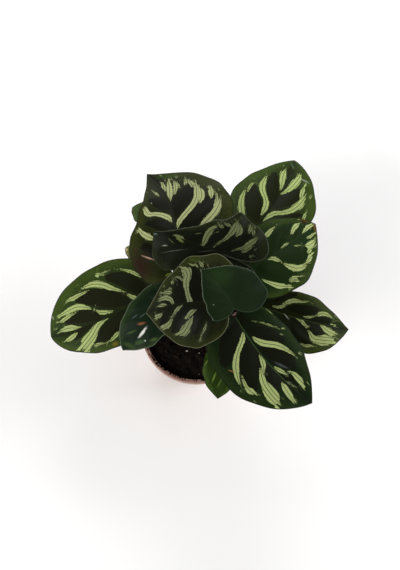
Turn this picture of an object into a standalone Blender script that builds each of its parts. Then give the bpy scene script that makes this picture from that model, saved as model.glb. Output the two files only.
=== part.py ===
"""A potted calathea: a thin plastic pot, its soil, and each leaf with its stalk as one piece.

Units are metres with +Z up. The origin is the middle of the pot's flat underside.
Leaf sizes are written in millimetres and degrees, and scaled once by MM.

Every leaf follows one rule. A flat outline in blade coordinates (u along the midrib,
v across it) is bent over a curved midrib. Each half folds up or down at the midrib and
curls on towards its margin. The margin is slightly waved, up and down and in and out.
"""

import math
from dataclasses import dataclass

import bmesh
import bpy
import numpy as np
from mathutils import Vector

MM = 0.001

# Clearance between pieces that touch on the real plant
GAP = 0.0003

# Edges shorter than this are closed up after a Boolean
SLIVER = 0.0001

# Pot: a turned shell with a lip, a flat floor and drain holes
POT_HEIGHT = 0.098
POT_TOP_RADIUS = 0.0576
POT_BASE_RADIUS = 0.0420
POT_WALL = 0.0014
POT_FLOOR = 0.0016
LIP_HEIGHT = 0.0090
LIP_WIDTH = 0.0024
LIP_ROUND = 0.0008
POT_SIDES = 48
DRAIN_COUNT = 6
DRAIN_RADIUS = 0.0035
DRAIN_RING = 0.0290
DRAIN_SIDES = 12
DRAIN_TURN = math.radians(3.75)

# Soil: a plug that fills the pot to a little below the lip, with an uneven top
SOIL_EDGE_HEIGHT = 0.0915
SOIL_MOUND = 0.0030
SOIL_RINGS = 7
SOIL_SIDES = 48
SOIL_LUMP = 0.0006
SOIL_SEED = 4

# Stalks: eight-sided, thinner towards the blade, standing in plain holes in the soil
STALK_RADIUS = 1.7
STALK_TOP_RADIUS = 1.25
STALK_DEPTH = 26
STALK_STEPS = 10
STALK_SIDES = 8
STALK_SOIL_HEIGHT = 94
HOLE_ROOM = 0.4
HOLE_TOP = 98
HOLE_SIDES = 12

# Midrib: a ridge under the blade, deepest at the base, with the stalk joined to it near the base
RIB_HALF_WIDTH = 1.25
RIB_WIDEST_SHARE = 0.3
RIB_DEPTH = 1.0
RIB_TAPER = 1.3
JOINT_ROW = 2
JOINT_DROP = 2.6
JOINT_BACK = 1.5

# Blades: rows run from the base to the tip, and columns from the midrib to the margin
BLADE_THICKNESS = 0.7
BLADE_ROWS = 14
BLADE_COLUMNS = 5
SMALL_ROWS = 8
SMALL_COLUMNS = 4
SMALL_LENGTH = 65
ROW_CROWDING = 1.7
LEAST_ACROSS = 0.5
VEIN_BOW = 0.16
OUTLINE_STEPS = 60
MIDRIB_STEPS = 80
RIGHT_WAVE_SHIFT = 2.1

# Bend of the blade: the lobe's own curl grows from this share of the length back to the base
LOBE_SPAN = 0.55
LOBE_MOST = 1.6
LOBE_GROWTH = 1.5
FLAT_CURL = 1e-4

# Handles of the outline's curves, as shares of the lobe, the length and the half's width
LOBE_HANDLE = 1.6
SHOULDER_HANDLE = 0.3
TIP_REACH = 0.90
TIP_REACH_BY_POINT = 0.12
TIP_FULLNESS = 0.55
TIP_FULLNESS_BY_POINT = 0.42
TIP_LEAST = 0.08
RIPPLE_ONSET = 1.5

# Angles in degrees from which an edge is shaded sharp
LEAF_SHARP = 35
POT_SHARP = 40
SOIL_SHARP = 50


@dataclass(frozen=True)
class Leaf:
    """One leaf, in millimetres and degrees. Pairs hold the left half, then the right half.

    Left and right are seen from above, looking from the base of the blade to its tip.
    """

    name: str
    base: tuple
    tip: tuple
    width: tuple
    root: tuple
    lobe: tuple = (12, 12)
    sinus: tuple = (0.3, 0.3)
    broadest: tuple = (0.4, 0.4)
    full: tuple = (0.5, 0.5)
    point: tuple = (0.4, 0.4)
    arch: float = 6
    arch_skew: float = 0.4
    bend: float = 0
    fold: tuple = (10, 10)
    curl: tuple = (-25, -25)
    lobe_curl: tuple = (0, 0)
    wave: float = 0.8
    waves: float = 2.5
    ripple: tuple = (0.6, 0.6)
    ripples: float = 5
    ripple_start: float = 0
    rise: float = 0.55
    reach: float = 14
    hang: float = 6
    lean: tuple = (0, 0)
    over: tuple = (0, 0)


LEAVES = [
    Leaf("leaf_left", base=(-40, 27, 152), tip=(-152, -15, 122), width=(32.5, 59), root=(-21, 0),
         lobe=(12, 16), broadest=(0.47, 0.38), full=(0.32, 0.37), point=(-0.2, -0.65), fold=(5, 5),
         curl=(-25, -20), bend=7.3),
    Leaf("leaf_left_front", base=(-26, 14, 166), tip=(-75, -33, 139), width=(19, 29.5), root=(-10, -8),
         lobe=(10, 18), broadest=(0.47, 0.33), point=(0.5, 0), bend=2.7, full=(0.46, 0.5)),
    Leaf("leaf_middle_domed", base=(21.5, -6, 228), tip=(-49, -6, 188), width=(43.8, 49.4), root=(-2, -2),
         lobe=(14, 20), broadest=(0.34, 0.15), full=(0.57, 0.46), point=(0.62, 0.78), arch=10,
         arch_skew=-0.2, fold=(-5, 0), curl=(-35, -12), bend=-1.5, ripple=(0.6, 1.9), ripple_start=-0.25),
    Leaf("leaf_crown", base=(35, -14, 236), tip=(3.7, 18.1, 256), width=(23.3, 37.6), root=(6, 8),
         lobe=(3.5, 13), sinus=(0.35, 0.35), broadest=(0.06, -0.03), full=(0.76, 0.61), point=(0.72, 1.0),
         arch=4, bend=-2.5, reach=10, hang=14, lean=(12, 6), over=(-8, 8)),
    Leaf("leaf_front_right", base=(39, -11, 188), tip=(115, -88, 148), width=(38.5, 46), root=(12, -10),
         lobe=(16, 20), broadest=(0.39, 0.35), full=(0.47, 0.36), point=(0.3, 0.38), arch=8, bend=-7.8),
    Leaf("leaf_front_low", base=(30, -24, 138), tip=(22, -79, 116), width=(18.5, 20), root=(12, -22),
         lobe=(6, 6), broadest=(0.43, 0.45)),
    Leaf("leaf_right", base=(63, 11, 154), tip=(158, -9, 130), width=(28, 33), root=(22, -2),
         lobe=(10, 10), broadest=(0.48, 0.56), full=(0.34, 0.39), point=(0.5, 0.22), bend=-4.2),
    Leaf("leaf_right_upper", base=(51, 38, 188), tip=(122, 92, 172), width=(36, 42), root=(16, 8),
         lobe=(12, 20), broadest=(0.31, 0.37), full=(0.5, 0.35), point=(0.23, 0.55), bend=-3),
    Leaf("leaf_back_right", base=(59, 86, 170), tip=(107, 180, 134), width=(45, 44), root=(10, 18),
         lobe=(12, 12), full=(0.38, 0.19), point=(0.47, 0.22), bend=-5.3, broadest=(0.3, 0.4)),
    Leaf("leaf_centre_folded", base=(27, 47, 208), tip=(-40.8, 69.1, 214), width=(36.8, 44), root=(2, 14),
         lobe=(42, 41), sinus=(-0.15, -0.05), broadest=(0.33, 0.0), full=(0.72, 0.0), point=(-1.56, 2.4),
         arch=5, fold=(-22, 12), curl=(-42, -15), lobe_curl=(52, 0), wave=1.4, waves=3.5, ripple=(2.0, 2.0),
         ripples=5.8, ripple_start=-0.8),
    Leaf("leaf_back_left", base=(-19, 62, 190), tip=(-54, 163, 136), width=(54.2, 61.3), root=(-4, 21),
         lobe=(38, 19.7), sinus=(0.12, 0.3), broadest=(0.05, 0.31), full=(-0.06, 0.61), point=(0.64, 0.84),
         arch=10, arch_skew=-0.8, bend=-9.5, lobe_curl=(-34, 0), wave=1.6, ripple=(1.28, 1.28), ripples=6.74,
         ripple_start=-1.61),
    Leaf("leaf_back_left_low", base=(-39, 106, 132), tip=(-70, 128, 126), width=(14, 14), root=(-16, 16),
         lobe=(5, 5)),
    Leaf("leaf_left_low", base=(-50, 68, 120), tip=(-77, 82, 124), width=(12, 12), root=(-24, 8),
         lobe=(5, 5)),
    Leaf("leaf_new", base=(-22, 30.5, 188), tip=(-32, 30.5, 194), width=(5, 5), root=(-14, 3),
         lobe=(2, 2), arch=1, fold=(35, 35), curl=(20, 20), wave=0, reach=6, hang=8),
]


def clear_scene():
    """Removes whatever the scene holds."""
    for thing in list(bpy.data.objects):
        bpy.data.objects.remove(thing, do_unlink=True)


def new_material(name, colour, roughness):
    """A Principled BSDF material of one colour."""
    material = bpy.data.materials.new(name)
    material.use_nodes = True
    shader = material.node_tree.nodes["Principled BSDF"]
    shader.inputs["Base Color"].default_value = (*colour, 1.0)
    shader.inputs["Roughness"].default_value = roughness
    shader.inputs["Metallic"].default_value = 0.0
    return material


def new_object(name, mesh, material):
    """Links a mesh to the scene as an object."""
    thing = bpy.data.objects.new(name, mesh)
    mesh.materials.append(material)
    bpy.context.scene.collection.objects.link(thing)
    return thing


def mesh_from(name, points, faces):
    """A mesh with its faces turned outwards."""
    mesh = bpy.data.meshes.new(name)
    mesh.from_pydata([tuple(p) for p in points], [], faces)
    shape = bmesh.new()
    shape.from_mesh(mesh)
    bmesh.ops.recalc_face_normals(shape, faces=shape.faces)
    shape.to_mesh(mesh)
    shape.free()
    return mesh


def hide_helper(thing):
    """Marks an object as a cutter, which is no piece of the plant."""
    thing.hide_render = True
    thing.display_type = "WIRE"


def cutter(name, radius, sides, x, y, low, high):
    """An upright cylinder that cuts a hole, in metres."""
    bpy.ops.mesh.primitive_cylinder_add(
        vertices=sides, radius=radius, depth=high - low, location=(x, y, (low + high) / 2)
    )
    thing = bpy.context.object
    thing.name = name
    hide_helper(thing)
    return thing


def apply_modifiers(thing):
    """Replaces an object's mesh by the mesh that its modifiers give."""
    graph = bpy.context.evaluated_depsgraph_get()
    mesh = bpy.data.meshes.new_from_object(thing.evaluated_get(graph))
    thing.modifiers.clear()
    thing.data = mesh


def clean(thing):
    """Applies an object's modifiers and removes the slivers that a Boolean leaves."""
    apply_modifiers(thing)
    shape = bmesh.new()
    shape.from_mesh(thing.data)
    bmesh.ops.triangulate(shape, faces=shape.faces)
    bmesh.ops.remove_doubles(shape, verts=shape.verts, dist=SLIVER)
    bmesh.ops.dissolve_degenerate(shape, edges=shape.edges, dist=SLIVER)
    bmesh.ops.triangulate(shape, faces=shape.faces)
    shape.to_mesh(thing.data)
    shape.free()


def smooth(thing, sharp_degrees):
    """Shades an object smooth, apart from its sharp edges."""
    thing.data.shade_smooth()
    thing.data.set_sharp_from_angle(angle=math.radians(sharp_degrees))


def bezier(points, t):
    """Points of a cubic curve at the parameters t."""
    p0, p1, p2, p3 = (np.asarray(p, float) for p in points)
    t = np.asarray(t, float)[..., None]
    s = 1 - t
    return s**3 * p0 + 3 * s * s * t * p1 + 3 * s * t * t * p2 + t**3 * p3


def unit(vectors):
    """Vectors scaled to length one."""
    return vectors / np.linalg.norm(vectors, axis=-1, keepdims=True)


def run_length(points):
    """Distance along a line of points, from its first point."""
    steps = np.linalg.norm(np.diff(points, axis=0), axis=1)
    return np.concatenate([[0], np.cumsum(steps)])


class Blade:
    """The bent surface of one leaf's blade, in millimetres."""

    def __init__(self, leaf):
        self.leaf = leaf
        self.base = np.array(leaf.base, float)
        self.chord = np.array(leaf.tip, float) - self.base
        ahead = unit(self.chord)
        self.side = unit(np.cross([0, 0, 1], ahead))
        self.up = np.cross(ahead, self.side)
        t = np.linspace(0, 1, MIDRIB_STEPS)
        arc = run_length(self.midrib(t))
        self.length = arc[-1]
        self.arc_share = arc / self.length
        self.arc_t = t

    def midrib(self, t):
        """Points on the midrib: the chord, raised by the arch and bowed sideways by the bend."""
        leaf = self.leaf
        t = np.asarray(t, float)[..., None]
        hump = 4 * t * (1 - t)
        lean = 1 + leaf.arch_skew * (2 * t - 1)
        return self.base + self.chord * t + self.up * leaf.arch * hump * lean + self.side * leaf.bend * hump

    def frame(self, u):
        """Position, direction, side and normal on the midrib, run straight on behind the base."""
        share = np.asarray(u, float) / self.length
        t = np.interp(np.clip(share, 0, 1), self.arc_share, self.arc_t)
        step = 0.001
        ahead = unit(self.midrib(np.clip(t + step, 0, 1)) - self.midrib(np.clip(t - step, 0, 1)))
        place = self.midrib(t) + ahead * np.minimum(share, 0)[..., None] * self.length
        side = unit(self.side - ahead * np.sum(self.side * ahead, axis=-1, keepdims=True))
        return place, ahead, side, np.cross(ahead, side)

    def place(self, u, v, half, lift):
        """Bends flat points of one half, 0 for the left and 1 for the right, lifted off the blade."""
        leaf = self.leaf
        across = v / leaf.width[half]
        near_base = np.clip(1 - u / (LOBE_SPAN * self.length), 0, LOBE_MOST)
        fold = math.radians(leaf.fold[half])
        curl = np.radians(leaf.curl[half] + leaf.lobe_curl[half] * near_base**LOBE_GROWTH)
        curl = np.where(np.abs(curl) < FLAT_CURL, FLAT_CURL, curl)
        end = fold + curl * across
        out = leaf.width[half] / curl * (np.sin(end) - math.sin(fold))
        rise = leaf.width[half] / curl * (math.cos(fold) - np.cos(end))
        swing = 2 * math.pi * leaf.waves * u / self.length + half * RIGHT_WAVE_SHIFT
        rise = rise + leaf.wave * across**2 * np.sin(swing)
        rise = rise + lift * np.cos(end)
        out = out - lift * np.sin(end)
        place, _, side, normal = self.frame(u)
        sign = 1 - 2 * half
        return place + sign * side * out[..., None] + normal * rise[..., None]

    def outline(self, half):
        """The flat margin of one half, from the base round its lobe to the tip, and its run from 0 to 1."""
        leaf = self.leaf
        width = leaf.width[half]
        lobe = leaf.lobe[half]
        point = leaf.point[half]
        broad = leaf.broadest[half] * self.length
        lobe_handle = (-LOBE_HANDLE * lobe, leaf.sinus[half] * width)
        shoulder_handle = (SHOULDER_HANDLE * broad - lobe, width)
        side_handle = (broad + leaf.full[half] * (self.length - broad), width)
        tip_reach = TIP_REACH - TIP_REACH_BY_POINT * point
        tip_fullness = max(TIP_FULLNESS - TIP_FULLNESS_BY_POINT * point, TIP_LEAST)
        tip_handle = (self.length * tip_reach, width * tip_fullness)
        back = [(0, 0), lobe_handle, shoulder_handle, (broad, width)]
        front = [(broad, width), side_handle, tip_handle, (self.length, 0)]
        t = np.linspace(0, 1, OUTLINE_STEPS)
        points = np.concatenate([bezier(back, t), bezier(front, t[1:])])
        arc = run_length(points)
        arc = arc / arc[-1]
        swing = 2 * math.pi * leaf.ripples * arc + half * RIGHT_WAVE_SHIFT + leaf.ripple_start
        points[:, 1] *= 1 + leaf.ripple[half] / width * np.sin(swing) * np.sin(math.pi * arc**RIPPLE_ONSET)
        return points, arc

    def half_grid(self, half, rows, columns, lift):
        """World points of one half along bowed lines from the midrib out to the margin.

        The first two of each line bound the midrib's ridge, and the rest are evenly spaced.
        """
        share = np.linspace(0, 1, rows + 1)
        margin, arc = self.outline(half)
        end = np.stack([np.interp(share, arc, margin[:, axis]) for axis in (0, 1)], axis=-1)
        start = np.stack([self.length * share**ROW_CROWDING, np.zeros(rows + 1)], axis=-1)
        gap = end - start
        back = np.stack([-np.abs(gap[:, 1]), np.maximum(gap[:, 0], 0)], axis=-1)
        middle = (start + end) / 2 + VEIN_BOW * back
        reach = np.maximum(np.linalg.norm(gap, axis=1), RIB_HALF_WIDTH)
        foot = np.minimum(RIB_HALF_WIDTH / reach, RIB_WIDEST_SHARE)
        q = np.linspace(foot, np.ones(rows + 1), columns, axis=1)
        q = np.concatenate([np.zeros((rows + 1, 1)), q], axis=1)[..., None]
        flat = (1 - q) ** 2 * start[:, None] + 2 * q * (1 - q) * middle[:, None] + q * q * end[:, None]
        least = np.where(q[..., 0] > 0, LEAST_ACROSS, 0)
        return self.place(flat[..., 0], np.maximum(flat[..., 1], least), half, lift)


def stalk_rings(blade, joint):
    """Rings of points down a stalk, from under its joint with the blade to its foot in the soil.

    Each ring starts at its top and goes round by the left.
    """
    leaf = blade.leaf
    _, ahead, side, normal = (line[0] for line in blade.frame(np.array([0.0])))
    soil = np.array([*leaf.root, STALK_SOIL_HEIGHT], float)
    head = joint - normal * JOINT_DROP - ahead * JOINT_BACK
    high = head - ahead * leaf.reach + np.array([*leaf.over, -leaf.hang])
    low = soil + np.array([*leaf.lean, (blade.base[2] - soil[2]) * leaf.rise])
    line = bezier([head, high, low, soil], np.linspace(0, 1, STALK_STEPS))
    line = np.concatenate([line, [soil - np.array([0, 0, STALK_DEPTH])]])
    heading = unit(np.gradient(line, axis=0))
    heading[0] = unit(unit(line[1] - line[0]) - normal)
    heading[-2:] = (0, 0, -1)
    radii = np.append(np.linspace(STALK_TOP_RADIUS, STALK_RADIUS, STALK_STEPS), STALK_RADIUS)
    turns = np.linspace(0, 2 * math.pi, STALK_SIDES, endpoint=False)[:, None]
    rings = []
    left = side
    for centre, along, radius in zip(line, heading, radii):
        left = unit(left - along * (left @ along))
        top = np.cross(left, along)
        rings.append(centre + radius * (np.cos(turns) * top + np.sin(turns) * left))
    return rings


def add_face(shape, corners):
    """Adds a face through its different corners, as triangles."""
    first, *others = dict.fromkeys(corners)
    for pair in zip(others, others[1:]):
        shape.faces.new([first, *pair])


def grid_corners(grid, row, column):
    """The four corners of one cell of a grid of vertices."""
    return [grid[row][column], grid[row][column + 1], grid[row + 1][column + 1], grid[row + 1][column]]


def blade_vertices(shape, blade, rows, columns, lift):
    """Vertices of one face of the blade, as a grid for each half. The halves share the midrib's."""
    grids = []
    for half in (0, 1):
        points = blade.half_grid(half, rows, columns, lift) * MM
        grid = []
        for row in range(rows + 1):
            first = grids[0][row][0] if half else shape.verts.new(points[row, 0])
            if row in (0, rows):
                grid.append([first] * (columns + 1))
            else:
                grid.append([first, *(shape.verts.new(point) for point in points[row, 1:])])
        grids.append(grid)
    return grids


def build_leaf(leaf, paint):
    """One leaf: a thin blade with a ridge under its midrib, and a stalk drawn out of the ridge."""
    blade = Blade(leaf)
    small = blade.length < SMALL_LENGTH
    rows = SMALL_ROWS if small else BLADE_ROWS
    columns = SMALL_COLUMNS if small else BLADE_COLUMNS
    shape = bmesh.new()
    above = blade_vertices(shape, blade, rows, columns, BLADE_THICKNESS / 2)
    below = blade_vertices(shape, blade, rows, columns, -BLADE_THICKNESS / 2)
    back, middle, front = JOINT_ROW - 1, JOINT_ROW, JOINT_ROW + 1
    for top, bottom in zip(above, below):
        for row in range(rows):
            for column in range(columns):
                add_face(shape, grid_corners(top, row, column))
                if column or row not in (back, middle):
                    add_face(shape, grid_corners(bottom, row, column))
            add_face(shape, [top[row][-1], bottom[row][-1], bottom[row + 1][-1], top[row + 1][-1]])
    spine = [line[0] for line in below[0]]
    for row in range(1, rows):
        share = row / rows
        _, _, _, normal = blade.frame(np.array(share**ROW_CROWDING * blade.length))
        spine[row].co -= Vector(normal * RIB_DEPTH * (1 - share) ** RIB_TAPER * MM)
    joint = np.array(spine[middle].co) / MM
    shape.verts.remove(spine[middle])
    left, right = below
    rim = [spine[back], left[back][1], left[middle][1], left[front][1]]
    rim += [spine[front], right[front][1], right[middle][1], right[back][1]]
    for ring in stalk_rings(blade, joint):
        fresh = [shape.verts.new(point * MM) for point in ring]
        for corner in range(STALK_SIDES):
            after = (corner + 1) % STALK_SIDES
            add_face(shape, [rim[corner], rim[after], fresh[after], fresh[corner]])
        rim = fresh
    add_face(shape, rim)
    bmesh.ops.recalc_face_normals(shape, faces=shape.faces)
    mesh = bpy.data.meshes.new(leaf.name)
    shape.to_mesh(mesh)
    shape.free()
    thing = new_object(leaf.name, mesh, paint)
    smooth(thing, LEAF_SHARP)


def turned(name, profile, sides, material):
    """A closed solid turned round +Z from a profile whose first and last points are on the axis."""
    angles = [2 * math.pi * step / sides for step in range(sides)]
    points = []
    rings = []
    for radius, height in profile:
        if radius == 0:
            rings.append([len(points)] * sides)
            points.append((0, 0, height))
        else:
            rings.append(list(range(len(points), len(points) + sides)))
            points.extend((radius * math.cos(a), radius * math.sin(a), height) for a in angles)
    faces = []
    for low, high in zip(rings, rings[1:]):
        for side in range(sides):
            after = (side + 1) % sides
            faces.append(list(dict.fromkeys([low[side], low[after], high[after], high[side]])))
    return new_object(name, mesh_from(name, points, faces), material)


def wall_radius(height):
    """Outer radius of the pot's wall at a height."""
    return POT_BASE_RADIUS + (POT_TOP_RADIUS - POT_BASE_RADIUS) * height / POT_HEIGHT


def build_pot(paint):
    """The pot: a flat floor with drain holes, a tapered wall and a rounded lip."""
    lip_foot = POT_HEIGHT - LIP_HEIGHT
    lip_radius = POT_TOP_RADIUS + LIP_WIDTH
    profile = [
        (0, 0),
        (POT_BASE_RADIUS - LIP_ROUND, 0),
        (POT_BASE_RADIUS, LIP_ROUND),
        (wall_radius(lip_foot), lip_foot),
        (lip_radius, lip_foot + LIP_ROUND),
        (lip_radius, POT_HEIGHT - LIP_ROUND),
        (lip_radius - LIP_ROUND, POT_HEIGHT),
        (POT_TOP_RADIUS - POT_WALL, POT_HEIGHT),
        (wall_radius(POT_FLOOR) - POT_WALL, POT_FLOOR),
        (0, POT_FLOOR),
    ]
    pot = turned("pot", profile, POT_SIDES, paint)
    for index in range(DRAIN_COUNT):
        angle = 2 * math.pi * index / DRAIN_COUNT + DRAIN_TURN
        x = DRAIN_RING * math.cos(angle)
        y = DRAIN_RING * math.sin(angle)
        drill = cutter(
            f"drain_cutter_{index + 1}", DRAIN_RADIUS, DRAIN_SIDES, x, y, -POT_FLOOR, 2 * POT_FLOOR
        )
        cut = pot.modifiers.new(f"Drain {index + 1}", "BOOLEAN")
        cut.operation = "DIFFERENCE"
        cut.solver = "MANIFOLD"
        cut.object = drill
    clean(pot)
    smooth(pot, POT_SHARP)


def soil_profile():
    """Half section of the soil plug, from its flat underside up over its mounded top."""
    low = POT_FLOOR + GAP
    inset = POT_WALL + GAP
    profile = [(0, low), (wall_radius(low) - inset, low)]
    edge = wall_radius(SOIL_EDGE_HEIGHT) - inset
    for ring in range(SOIL_RINGS + 1):
        share = 1 - ring / SOIL_RINGS
        profile.append((edge * share, SOIL_EDGE_HEIGHT + SOIL_MOUND * (1 - share**2)))
    return profile


def build_soil(leaves, paint):
    """The soil plug, with an uneven top and a plain hole round each stalk."""
    soil = turned("soil", soil_profile(), SOIL_SIDES, paint)
    draw = np.random.default_rng(SOIL_SEED)
    edge = wall_radius(SOIL_EDGE_HEIGHT) - POT_WALL - 2 * GAP
    for vertex in soil.data.vertices:
        if vertex.co.z > SOIL_EDGE_HEIGHT - GAP and math.hypot(vertex.co.x, vertex.co.y) < edge:
            vertex.co.z += SOIL_LUMP * draw.uniform(-1, 1)
    holes = bpy.data.collections.new("stalk_holes")
    bpy.context.scene.collection.children.link(holes)
    low = (STALK_SOIL_HEIGHT - STALK_DEPTH) * MM - GAP
    for leaf in leaves:
        x, y = (part * MM for part in leaf.root)
        radius = (STALK_RADIUS + HOLE_ROOM) * MM
        drill = cutter(leaf.name + "_hole_cutter", radius, HOLE_SIDES, x, y, low, HOLE_TOP * MM)
        bpy.context.collection.objects.unlink(drill)
        holes.objects.link(drill)
    cut = soil.modifiers.new("Stalk holes", "BOOLEAN")
    cut.operation = "DIFFERENCE"
    cut.operand_type = "COLLECTION"
    cut.collection = holes
    clean(soil)
    smooth(soil, SOIL_SHARP)


def main():
    """Builds the pot, the soil and every leaf."""
    clear_scene()
    clay_plastic = new_material("pot_plastic", (0.46, 0.22, 0.15), 0.55)
    earth = new_material("soil", (0.022, 0.014, 0.010), 0.95)
    leaf_green = new_material("leaf_green", (0.035, 0.075, 0.022), 0.35)
    build_pot(clay_plastic)
    build_soil(LEAVES, earth)
    for leaf in LEAVES:
        build_leaf(leaf, leaf_green)


main()
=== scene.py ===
"""Looks of the potted calathea: fine leaves with their markings, stalks, soil, pot and studio.

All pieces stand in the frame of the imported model. Lengths inside the leaf classes are
millimetres and angles degrees, as in the part's own source, and MM turns them into metres.
"""

import logging
import math
from collections.abc import Iterable, Sequence
from dataclasses import dataclass, field
from enum import Enum
from itertools import product

import bpy
import numpy as np
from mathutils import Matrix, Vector


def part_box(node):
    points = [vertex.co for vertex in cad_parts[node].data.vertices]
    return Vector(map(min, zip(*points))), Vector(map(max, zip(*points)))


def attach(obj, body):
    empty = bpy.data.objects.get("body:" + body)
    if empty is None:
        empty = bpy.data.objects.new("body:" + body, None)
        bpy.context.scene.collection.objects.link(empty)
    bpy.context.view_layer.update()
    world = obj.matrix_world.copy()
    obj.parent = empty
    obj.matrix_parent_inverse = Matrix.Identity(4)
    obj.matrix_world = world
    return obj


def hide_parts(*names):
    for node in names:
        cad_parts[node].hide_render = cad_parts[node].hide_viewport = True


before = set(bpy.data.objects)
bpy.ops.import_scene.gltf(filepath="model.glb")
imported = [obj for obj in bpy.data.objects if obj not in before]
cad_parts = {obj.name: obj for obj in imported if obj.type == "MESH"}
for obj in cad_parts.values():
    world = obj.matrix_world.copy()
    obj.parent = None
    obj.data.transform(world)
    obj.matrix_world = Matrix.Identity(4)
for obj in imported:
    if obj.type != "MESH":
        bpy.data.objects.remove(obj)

LOG = logging.getLogger("calathea")
MM = 0.001

Colour = tuple[float, float, float]
Point = tuple[float, float, float]
Pair = tuple[float, float]

# Bend and outline of the blades, the same rule and values as the solids have
VEIN_BOW = 0.16
OUTLINE_STEPS = 60
MIDRIB_STEPS = 80
RIGHT_WAVE_SHIFT = 2.1
LOBE_SPAN = 0.55
LOBE_MOST = 1.6
LOBE_GROWTH = 1.5
FLAT_CURL = 1e-4
LOBE_HANDLE = 1.6
SHOULDER_HANDLE = 0.3
TIP_REACH = 0.90
TIP_REACH_BY_POINT = 0.12
TIP_FULLNESS = 0.55
TIP_FULLNESS_BY_POINT = 0.42
TIP_LEAST = 0.08
RIPPLE_ONSET = 1.5
SMALL_LENGTH = 65
JOINT_SHARE = 2 / 14
SMALL_JOINT_SHARE = 2 / 8
ROW_CROWDING = 1.7
RIB_DEPTH = 1.0
RIB_TAPER = 1.3
CAD_THICKNESS = 0.7
STALK_SOIL_HEIGHT = 94
STALK_DEPTH = 26
JOINT_DROP = 2.6
JOINT_BACK = 1.5

# Steps, sizes and markings of the fine blade
VEIN_GATHER = 4
WELD = 0.002
BLADE_THICKNESS = 0.45
RIM_SWELL = 0.12
VEIN_SWELL = 0.28
PERCENT = 100
BAND_STEPS = 12
BAND_BLUR = 9
NO_BAND = -50.0
LEAST_RUN = 0.05
FALLS = (-0.3, 1.2)
LANE_WIDTH = 3.3
LANE_START = 40.0
PLAIN_OVALS = (0.45, 0.62, 0.78, 0.9)
FIRST_OVAL = 0.05
BORDER_STEPS = 700
HALF_SHIFT = 600
FULL_SWELL_LENGTH = 80
FULL_STALK_LENGTH = 60
MIDRIB_STEP = 0.001
TINY = 1e-9

# Crumbs of soil
BALL_CUTS = 3
KEY_DIGITS = 6

# The curve between a screen's colours and light
SCREEN_FULL = 255
SCREEN_KNEE = 0.04045
SCREEN_SLOPE = 12.92
SCREEN_SHIFT = 0.055
SCREEN_POWER = 2.4

NOISE_MIDDLE = 0.5


class Half(Enum):
    """A side of a blade, seen from above, looking from its base to its tip."""

    LEFT = 0
    RIGHT = 1


class Slot(Enum):
    """Names of the material slots for soil, leaf and stalk; nothing in this script uses them."""

    SOIL = "soil"
    LEAF = "leaf"
    STALK = "stalk"


LEFT = Half.LEFT
RIGHT = Half.RIGHT


def linear(colour: Colour) -> Colour:
    """Turns a screen colour of 0 to 255 into the linear values that a shader takes.

    Args:
        colour: Red, green and blue as seen on a screen.

    Returns:
        The same colour, linear, from 0 to 1.
    """
    return tuple(
        share / SCREEN_SLOPE if share <= SCREEN_KNEE
        else ((share + SCREEN_SHIFT) / (1 + SCREEN_SHIFT)) ** SCREEN_POWER
        for share in (part / SCREEN_FULL for part in colour)
    )


def dimmed(colour: Colour, share: float) -> Colour:
    """A linear colour times a number."""
    return tuple(part * share for part in colour)


class Signal:
    """A number that varies over a surface: one output socket and the graph that it is in."""

    def __init__(self, graph: "Graph", socket: bpy.types.NodeSocket) -> None:
        """Wraps one socket.

        Args:
            graph: The graph that new nodes are added to.
            socket: The output that carries the number.
        """
        self.graph = graph
        self.socket = socket

    def maths(self, operation: str, *others: "Signal | float") -> "Signal":
        """Applies a Math node to this signal.

        Args:
            operation: Blender's name for it.
            others: The operands after this one.

        Returns:
            The result.
        """
        return self.graph.maths(operation, self, *others)

    def __add__(self, other: "Signal | float") -> "Signal":
        """Sum."""
        return self.maths("ADD", other)

    def __radd__(self, other: float) -> "Signal":
        """Sum, with the number first."""
        return self.maths("ADD", other)

    def __sub__(self, other: "Signal | float") -> "Signal":
        """Difference."""
        return self.maths("SUBTRACT", other)

    def __rsub__(self, other: float) -> "Signal":
        """Difference, with the number first."""
        return self.graph.maths("SUBTRACT", other, self)

    def __mul__(self, other: "Signal | float") -> "Signal":
        """Product."""
        return self.maths("MULTIPLY", other)

    def __rmul__(self, other: float) -> "Signal":
        """Product, with the number first."""
        return self.maths("MULTIPLY", other)

    def __truediv__(self, other: "Signal | float") -> "Signal":
        """Quotient."""
        return self.maths("DIVIDE", other)

    def __pow__(self, other: float) -> "Signal":
        """Power."""
        return self.maths("POWER", other)

    def most(self, other: "Signal | float") -> "Signal":
        """The larger of two."""
        return self.maths("MAXIMUM", other)

    def fraction(self) -> "Signal":
        """What is left after the whole number."""
        return self.maths("FRACT")

    def whole(self) -> "Signal":
        """The whole number below."""
        return self.maths("FLOOR")

    def size(self) -> "Signal":
        """The value without its sign."""
        return self.maths("ABSOLUTE")

    def swing(self, amount: float) -> "Signal":
        """A noise moved to lie around 0, times a number."""
        return (self - NOISE_MIDDLE) * amount

    def off_middle(self) -> "Signal":
        """Way from the middle of each whole step: 0 there, and 1 where the next step starts."""
        return (self.fraction() - 0.5).size() * 2

    def rise(self, low: float, high: float) -> "Signal":
        """Goes smoothly from 0 at low to 1 at high.

        Args:
            low: Value that gives 0.
            high: Value that gives 1. It may be the smaller one.

        Returns:
            A mask from 0 to 1.
        """
        if high < low:
            return 1 - self.rise(high, low)
        node = self.graph.node(
            "ShaderNodeMapRange",
            {"interpolation_type": "SMOOTHSTEP"},
            {"Value": self, "From Min": low, "From Max": high},
        )
        return Signal(self.graph, node.outputs["Result"])


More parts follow.
